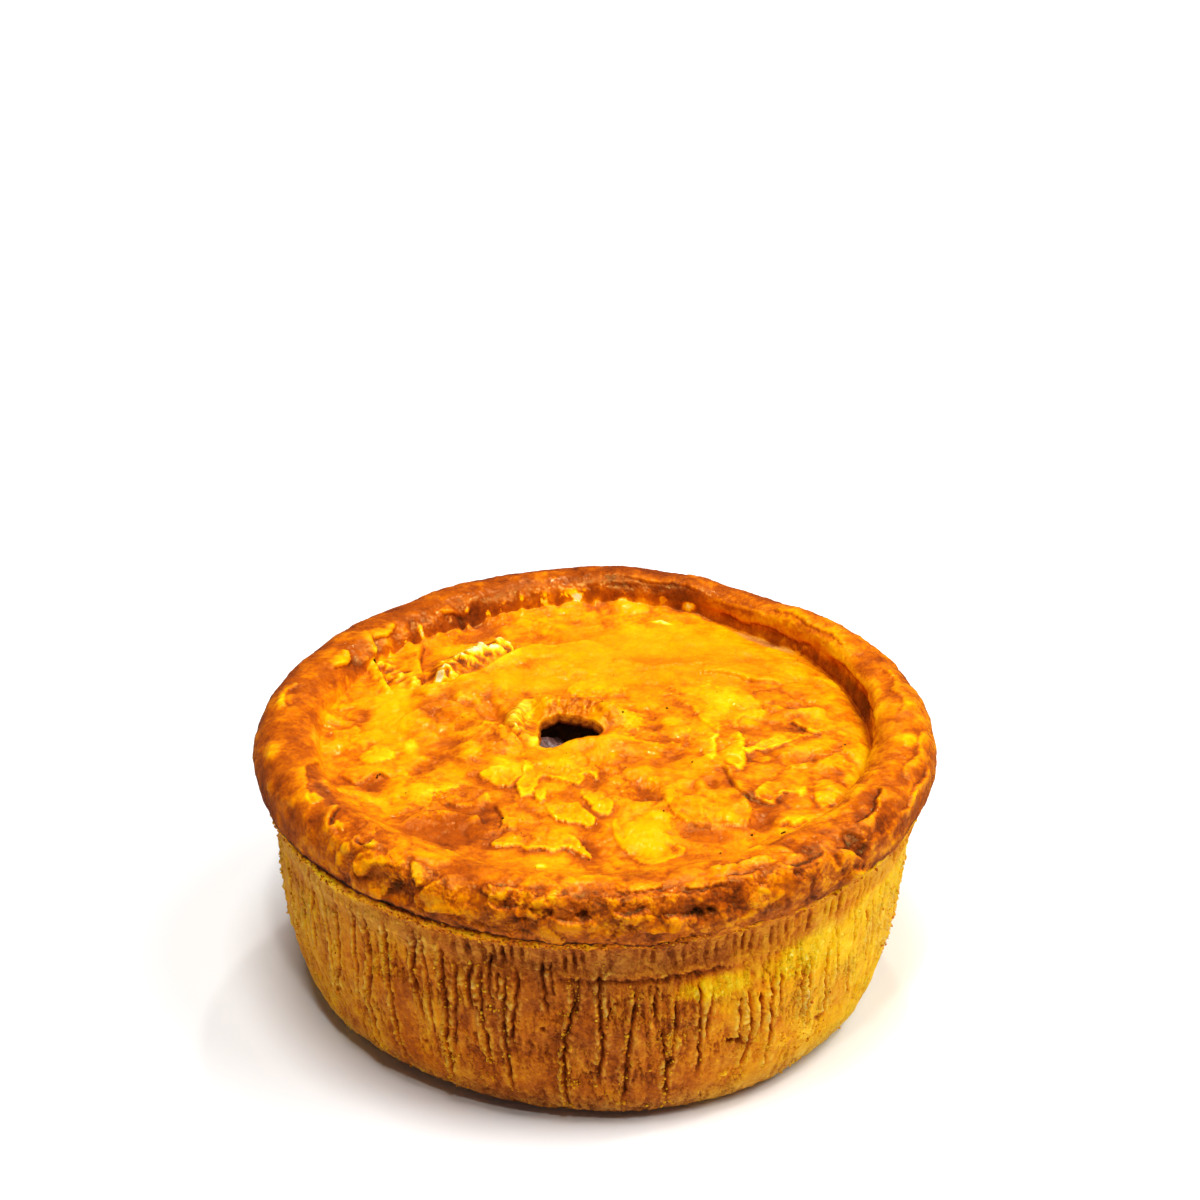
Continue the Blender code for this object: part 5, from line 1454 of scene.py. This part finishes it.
def makeRim():
    # the rolled rim, closed inside by two hidden rows
    rimPoints = topPoints[lidCount:]
    count = len(rimPoints)
    first, last = rimPoints[:columns], rimPoints[-columns:]
    low = last.copy()
    low[:, :2] *= 0.96
    low[:, 2] = 41.4
    back = first.copy()
    back[:, 2] = 42.0
    back[:, 2] = np.minimum(back[:, 2], first[:, 2] - 0.8)
    points = [rimPoints, low, back]
    faces = [rimFaces]
    ring = np.arange(count - columns, count)
    lowRing = np.arange(count, count + columns)
    backRing = lowRing + columns
    faces += [joinRings(ring, lowRing), joinRings(lowRing, backRing), joinRings(backRing, np.arange(columns))]
    allPoints, allFaces = np.concatenate(points), np.concatenate(faces)
    normals = vertexNormals(allPoints, allFaces)
    normals[:count] = topNormals[lidCount:]
    normals[count - columns:count] = vertexNormals(allPoints, rimFaces)[count - columns:count]
    values = skinValues(topSkin, np.arange(lidCount, topSkin["size"]))
    inner = rimSection["rows"] // 2 * columns  # faces of the half towards the lid
    return [makeMesh("rim_crust_inner", allPoints, allFaces[:inner], noTriangles, values, normals, rimMaterial),
            makeMesh("rim_crust_outer", allPoints, allFaces[inner:], noTriangles, values, normals, rimMaterial)]


casePoints = shaped(caseSkin)
caseNormals = vertexNormals(casePoints, ringFaces(len(caseR), caseColumns))


def makeCase():
    # the collar and the wall share the ring at the ledge; each is closed inside
    split = (caseShape["collarRows"] - 1) * caseColumns
    collarPoints = casePoints[: split + caseColumns]
    top, bottom = collarPoints[:caseColumns], collarPoints[-caseColumns:]
    inTop, inBottom = top.copy(), bottom.copy()
    inTop[:, :2] *= 0.97
    inBottom[:, :2] *= 0.97
    count = len(collarPoints)
    inside = np.arange(count, count + caseColumns)
    inside2 = inside + caseColumns
    faces = [ringFaces(caseShape["collarRows"], caseColumns), joinRings(np.arange(count - caseColumns, count), inside),
             joinRings(inside, inside2), joinRings(inside2, np.arange(caseColumns))]
    allPoints, allFaces = np.concatenate([collarPoints, inBottom, inTop]), np.concatenate(faces)
    normals = vertexNormals(allPoints, allFaces)
    normals[:count] = caseNormals[:count]
    collar = makeMesh("case_collar", allPoints, allFaces, noTriangles, skinValues(caseSkin, np.arange(count)), normals,
                      caseMaterial)

    wallPoints = casePoints[split:]
    count = len(wallPoints)
    rows = count // caseColumns
    points, faces = [wallPoints], [ringFaces(rows, caseColumns)]
    last, thin = addClosing(points, faces, np.arange(count - caseColumns, count), [
        ("half", circle(caseColumns // 2, 41.0, 41.0, 0.0)),
        ("half", circle(caseColumns // 4, 34.0, 34.0, 0.0)),
        ("half", circle(caseColumns // 8, 24.0, 24.0, 0.0)),
        ("half", circle(caseColumns // 16, 14.0, 14.0, 0.0)),
        ("half", circle(caseColumns // 32, 6.0, 6.0, 0.0)),
    ])
    middle = sum(len(p) for p in points)
    points.append(np.array([[0.0, 0.0, 0.0]]))
    thin.append(np.stack([last, np.full(len(last), middle), np.roll(last, -1)], axis=1))
    ring = np.arange(middle + 1, middle + 1 + caseColumns)
    points.append(wallPoints[:caseColumns] * (0.96, 0.96, 1.0) - (0, 0, 1.0))
    inner = joinRings(ring, np.arange(caseColumns))
    upper = []
    for divide, radius in ((2, 42.0), (4, 28.0), (8, 16.0), (16, 8.0), (32, 4.0)):
        at = sum(len(p) for p in points)
        points.append(circle(caseColumns // divide, radius, radius, 30.0))
        new = np.arange(at, at + caseColumns // divide)
        upper.append(thinRing(ring, new)[:, ::-1])
        ring = new
    at = sum(len(p) for p in points)
    points.append(np.array([[0.0, 0.0, 30.0]]))
    upper.append(np.stack([ring, np.roll(ring, -1), np.full(len(ring), at)], axis=1))
    allPoints = np.concatenate(points)
    normals = np.zeros_like(allPoints)
    normals[:count] = caseNormals[split:]
    normals[count - caseColumns:middle + 1] = (0, 0, -1)
    normals[middle + 1:] = (0, 0, 1)
    values = skinValues(caseSkin, np.arange(split, caseSkin["size"]))
    above = caseShape["splitRow"] * caseColumns
    return [collar,
            makeMesh("case_wall_upper", allPoints, np.concatenate([faces[0][:above], inner]), np.concatenate(upper), values,
                     normals, caseMaterial),
            makeMesh("case_wall_lower", allPoints, faces[0][above:], np.concatenate(thin), values, normals, caseMaterial)]


for piece in makeLid() + makeRim() + makeCase():
    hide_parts("pie")
print("crust meshes made")


crumbShape = {
    "onCrease": 3.0,  # crumbs to a millimetre of a crumbly split
    "onEdge": 900,  # round the edge under the rim
    "onFoot": 160,
    "onWall": 160,
    "smallest": 0.10,  # radius in mm
    "largest": 0.34,
}


def twentySided():
    # the corners and faces of a regular solid with twenty triangles, one unit across its radius
    golden = (1 + math.sqrt(5)) / 2
    corners = np.array([(x, y, 0) for x in (-1, 1) for y in (-golden, golden)])
    corners = np.concatenate([corners, np.roll(corners, 1, axis=1), np.roll(corners, 2, axis=1)])
    corners = corners / np.linalg.norm(corners[0])
    near = np.linalg.norm(corners[:, None] - corners[None], axis=2)
    side = near[near > 0].min() * 1.01
    faces = [(a, b, c) for a in range(12) for b in range(a + 1, 12) for c in range(b + 1, 12)
             if max(near[a, b], near[b, c], near[a, c]) < side]
    faces = np.array(faces)
    turn = np.cross(corners[faces[:, 1]] - corners[faces[:, 0]], corners[faces[:, 2]] - corners[faces[:, 0]])
    inward = (turn * corners[faces].mean(axis=1)).sum(axis=1) < 0
    faces[inward] = faces[inward][:, ::-1]
    return corners, faces


def grains(places, normals, radii, seed):
    # lumpy grains: the twenty-sided solid with each corner pushed in or out, flattened, turned, and sunk a third in
    chance = np.random.default_rng(seed)
    corners, faces = twentySided()
    count = len(places)
    turns = np.linalg.qr(chance.normal(size=(count, 3, 3)))[0]
    turns[np.linalg.det(turns) < 0] *= -1
    stretch = chance.uniform(0.6, 1.25, (count, 1, 3))
    knobs = chance.uniform(0.72, 1.2, (count, 12, 1))
    lumps = np.einsum("nij,nkj->nki", turns, corners[None] * knobs * stretch)
    points = places[:, None] + lumps * radii[:, None, None] + (normals * radii[:, None] * 0.35)[:, None]
    allFaces = faces[None] + 12 * np.arange(count)[:, None, None]
    return points.reshape(-1, 3), allFaces.reshape(-1, 3)


def onCase(degrees, height):
    # the finished surface of the case, and its outward direction, at places given by direction and height
    column = np.round((np.asarray(degrees) + 135) / 360 * caseColumns).astype(int) % caseColumns
    row = np.abs(caseZ[None, :] - np.asarray(height)[:, None]).argmin(axis=1)
    index = row * caseColumns + column
    return casePoints[index], caseNormals[index]


def makeCrumbs():
    # loose crumbs: along the lips of the splits, on the ragged edge under the rim, and round the foot
    chance = np.random.default_rng(31)
    degrees, heights = [], []
    for line, width, depth, crumbly in wallCreases:
        path = smoothLine(line, 8)
        length = np.abs(np.diff(path[:, 1])).sum()
        count = int(crumbShape["onCrease"] * length * crumbly**1.5)
        at = chance.choice(np.linspace(0.1, 0.95, 4), count) + chance.normal(0, 0.09, count)  # they gather in clusters
        spot = np.interp(np.clip(at, 0.02, 0.98), np.linspace(0, 1, len(path)), np.arange(len(path)))
        along = np.interp(spot, np.arange(len(path)), path[:, 1])
        across = np.interp(spot, np.arange(len(path)), path[:, 0])
        side = chance.choice([-1.0, -1.0, 1.0], count) * chance.uniform(0.7, 1.9, count) * width
        degrees.append(across + side / wallDegree)
        heights.append(along)
    count = crumbShape["onEdge"]
    degrees.append(np.where(chance.random(count) < 0.6, chance.uniform(-172, -62, count), chance.uniform(-180, 180, count)))
    heights.append(chance.normal(39.4, 0.65, count))
    count = crumbShape["onFoot"]
    degrees.append(chance.uniform(-180, 180, count))
    heights.append(chance.uniform(1.6, 3.4, count))
    count = crumbShape["onWall"]
    degrees.append(chance.uniform(-180, 180, count))
    heights.append(chance.uniform(4, 38, count))
    for centre, height, spread, count in ((-109.5, 8, 1.2, 26), (-107, 24.5, 1.0, 20), (-94, 25, 0.9, 20), (-76, 18.6, 1.4, 60),
                                          (-47, 10.5, 3.4, 120), (-54, 11, 2.2, 40), (-93.4, 9, 0.6, 30)):
        degrees.append(chance.normal(centre, spread, count))
        heights.append(chance.normal(height, spread * 0.8, count))
    degrees, heights = np.concatenate(degrees), np.concatenate(heights)
    places, normals = onCase(degrees, heights)
    radii = crumbShape["smallest"] + (crumbShape["largest"] - crumbShape["smallest"]) * chance.random(len(places)) ** 2.2
    points, faces = grains(places, normals, radii, 33)
    shade = np.clip(chance.normal(0.32, 0.12, len(places)) + 0.16 * (heights > 38.5), 0.14, 0.62)
    values = {"bake": np.repeat(shade, 12), "dry": np.full(len(points), 0.15), "gloss": np.full(len(points), 0.3),
              "flaky": np.full(len(points), 0.3)}
    return makeMesh("pastry_crumbs", points, np.zeros((0, 4), int), faces, values, None, caseMaterial)


def makeSpecks():
    # scorched specks lying on the lid
    chance = np.random.default_rng(41)
    spots = np.array([(-37.4, -14.5), (-37.0, -14.2), (-37.6, -15.0), (-32.3, -20.7), (-15.3, -30), (44, -3.5), (27, -33.5),
                      (32, -34), (32.4, -33.4), (21.5, -40), (13, 7), (5, 2.5), (12, -27.5), (17, -11)])
    count = 46
    spots = np.concatenate([spots, chance.normal(0, 22, (count, 2))])
    radii = np.concatenate([chance.uniform(0.16, 0.30, 14), chance.uniform(0.07, 0.15, count)])
    lidPoints = topPoints[:lidCount]
    gap = ((lidPoints[None, :, :2] - spots[:, None]) ** 2).sum(axis=2)
    nearest = gap.argmin(axis=1)
    points, faces = grains(lidPoints[nearest], topNormals[nearest], radii, 43)
    values = {"bake": np.full(len(points), 0.97), "dry": np.full(len(points), 0.6), "gloss": np.full(len(points), 0.1),
              "flaky": np.full(len(points), 0.3)}
    return makeMesh("burnt_specks", points, np.zeros((0, 4), int), faces, values, None, lidMaterial)


makeCrumbs()
makeSpecks()
print("crumbs and specks made")


def makeFilling():
    # cooked minced pork at the bottom of the steam hole: a lumpy disc with a closed underside
    rings = 30
    degrees = np.concatenate([ringAngles(ring) for ring in range(1, rings + 1)])
    share = np.concatenate([np.full(8 * ring, ring / rings) for ring in range(1, rings + 1)])
    x = steamHole["centre"][0] + 7.5 * share * np.cos(np.radians(degrees))
    y = steamHole["centre"][1] + 6.5 * share * np.sin(np.radians(degrees))
    points = np.stack([x, y, np.full(len(x), 41.0)], axis=1)
    points = np.concatenate([[[steamHole["centre"][0], steamHole["centre"][1], 41.0]], points])
    gap, owner = scatter(points, 2.4, 601)
    points[:, 2] += 1.5 * (0.5 - gap) + 0.5 * cloud(points, 1.4, 611, 3) + 0.8 * owner
    points[:, 2] += 3.4 * hump(np.hypot(points[:, 0] + 9.0, points[:, 1] - 0.5) / 6.5)
    faces = discFaces(1, rings) + 1
    count = len(points)
    outer = np.arange(count - 8 * rings, count)
    lower = points[outer] * (1, 1, 0) + (0, 0, 38.9)
    lowRing = np.arange(count, count + 8 * rings)
    centreTop = np.stack([np.full(8, 0), np.arange(1, 9), np.roll(np.arange(1, 9), -1)], axis=1)
    centreLow = count + 8 * rings
    floor = np.stack([np.full(8 * rings, centreLow), np.roll(lowRing, -1), lowRing], axis=1)
    allPoints = np.concatenate([points, lower, [[steamHole["centre"][0], steamHole["centre"][1], 38.9]]])
    squares = np.concatenate([faces, joinRings(outer, lowRing)])
    values = {"lumps": np.concatenate([owner, np.zeros(8 * rings + 1)])}
    return makeMesh("pork_filling", allPoints, squares, np.concatenate([centreTop, floor]), values, None, meatMaterial)


makeFilling()


cameraSettings = {
    "place": (0.0030, -0.6706, 0.4362),
    "aim": (0.00105, 0.0, 0.0729),
    "lens": 132.1,
    "sensor": 36.0,
}


def aimed(place, aim):
    # the turn that points an object's -Z from its place to its aim, with +Y kept up
    from mathutils import Vector
    return (Vector(aim) - Vector(place)).to_track_quat("-Z", "Y").to_euler()


camera = bpy.data.objects.new("camera", bpy.data.cameras.new("camera"))
camera.location = cameraSettings["place"]
camera.rotation_euler = aimed(cameraSettings["place"], cameraSettings["aim"])
camera.data.lens = cameraSettings["lens"]
camera.data.sensor_width = cameraSettings["sensor"]
camera.data.clip_start = 0.01
camera.data.clip_end = 20
bpy.context.scene.collection.objects.link(camera)
bpy.context.scene.camera = camera
bpy.context.scene.view_settings.view_transform = "Standard"

floorMesh = bpy.data.meshes.new("floor")
floorSize = 3.0
floorMesh.from_pydata([(-floorSize, -floorSize, 0), (floorSize, -floorSize, 0), (floorSize, floorSize, 0),
                       (-floorSize, floorSize, 0)], [], [(0, 1, 2, 3)])
floor = bpy.data.objects.new("floor", floorMesh)
floor.location = (0, 0, -0.0001)
bpy.context.scene.collection.objects.link(floor)
floor.visible_glossy = False  # the card doesn't shine up into the rim's glaze
floorMaterial = bpy.data.materials.new("white_card")
floorMaterial.use_nodes = True
floorShader = floorMaterial.node_tree.nodes["Principled BSDF"]
floorShader.inputs["Base Color"].default_value = (0.91, 0.93, 0.94, 1)
floorShader.inputs["Roughness"].default_value = 0.9
floorShader.inputs["Specular IOR Level"].default_value = 0.0
floorShader.inputs["Emission Color"].default_value = (1.0, 1.0, 1.0, 1)  # a lit table, as in a white studio set
floorShader.inputs["Emission Strength"].default_value = 0.004
floorMesh.materials.append(floorMaterial)

world = bpy.data.worlds.new("studio")
world.use_nodes = True
world.node_tree.nodes["Background"].inputs["Color"].default_value = (1.0, 1.0, 1.0, 1)
world.node_tree.nodes["Background"].inputs["Strength"].default_value = 0.045
bpy.context.scene.world = world

lights = {
    # name: place, aim, size, power in watts, colour
    "key": ((0.66, -0.10, 0.93), (0, 0, 0.03), 0.8, 9.2, (1.0, 0.99, 0.97)),
    "top": ((-0.07, -0.18, 1.5), (0, 0, 0.03), 0.6, 17.2, (1.0, 1.0, 1.0)),
    # three small lamps for the glints on the egg wash
    "glintRight": ((0.53, 0.046, 0.878), (0, 0, 0.03), 0.06, 1.6, (1.0, 0.97, 0.90)),
    "glintFront": ((-0.04, -0.468, 0.913), (0, 0, 0.03), 0.06, 1.5, (1.0, 0.97, 0.90)),
    "glintBack": ((0.12, 0.47, 0.90), (0, 0, 0.03), 0.06, 1.5, (1.0, 0.97, 0.90)),
}
for name, (place, aim, size, power, tint) in lights.items():
    lamp = bpy.data.objects.new(name, bpy.data.lights.new(name, "AREA"))
    lamp.data.shape = "DISK"
    lamp.data.size = size
    lamp.data.energy = power
    lamp.data.color = tint
    lamp.location = place
    lamp.rotation_euler = aimed(place, aim)
    bpy.context.scene.collection.objects.link(lamp)

print("scene ready")
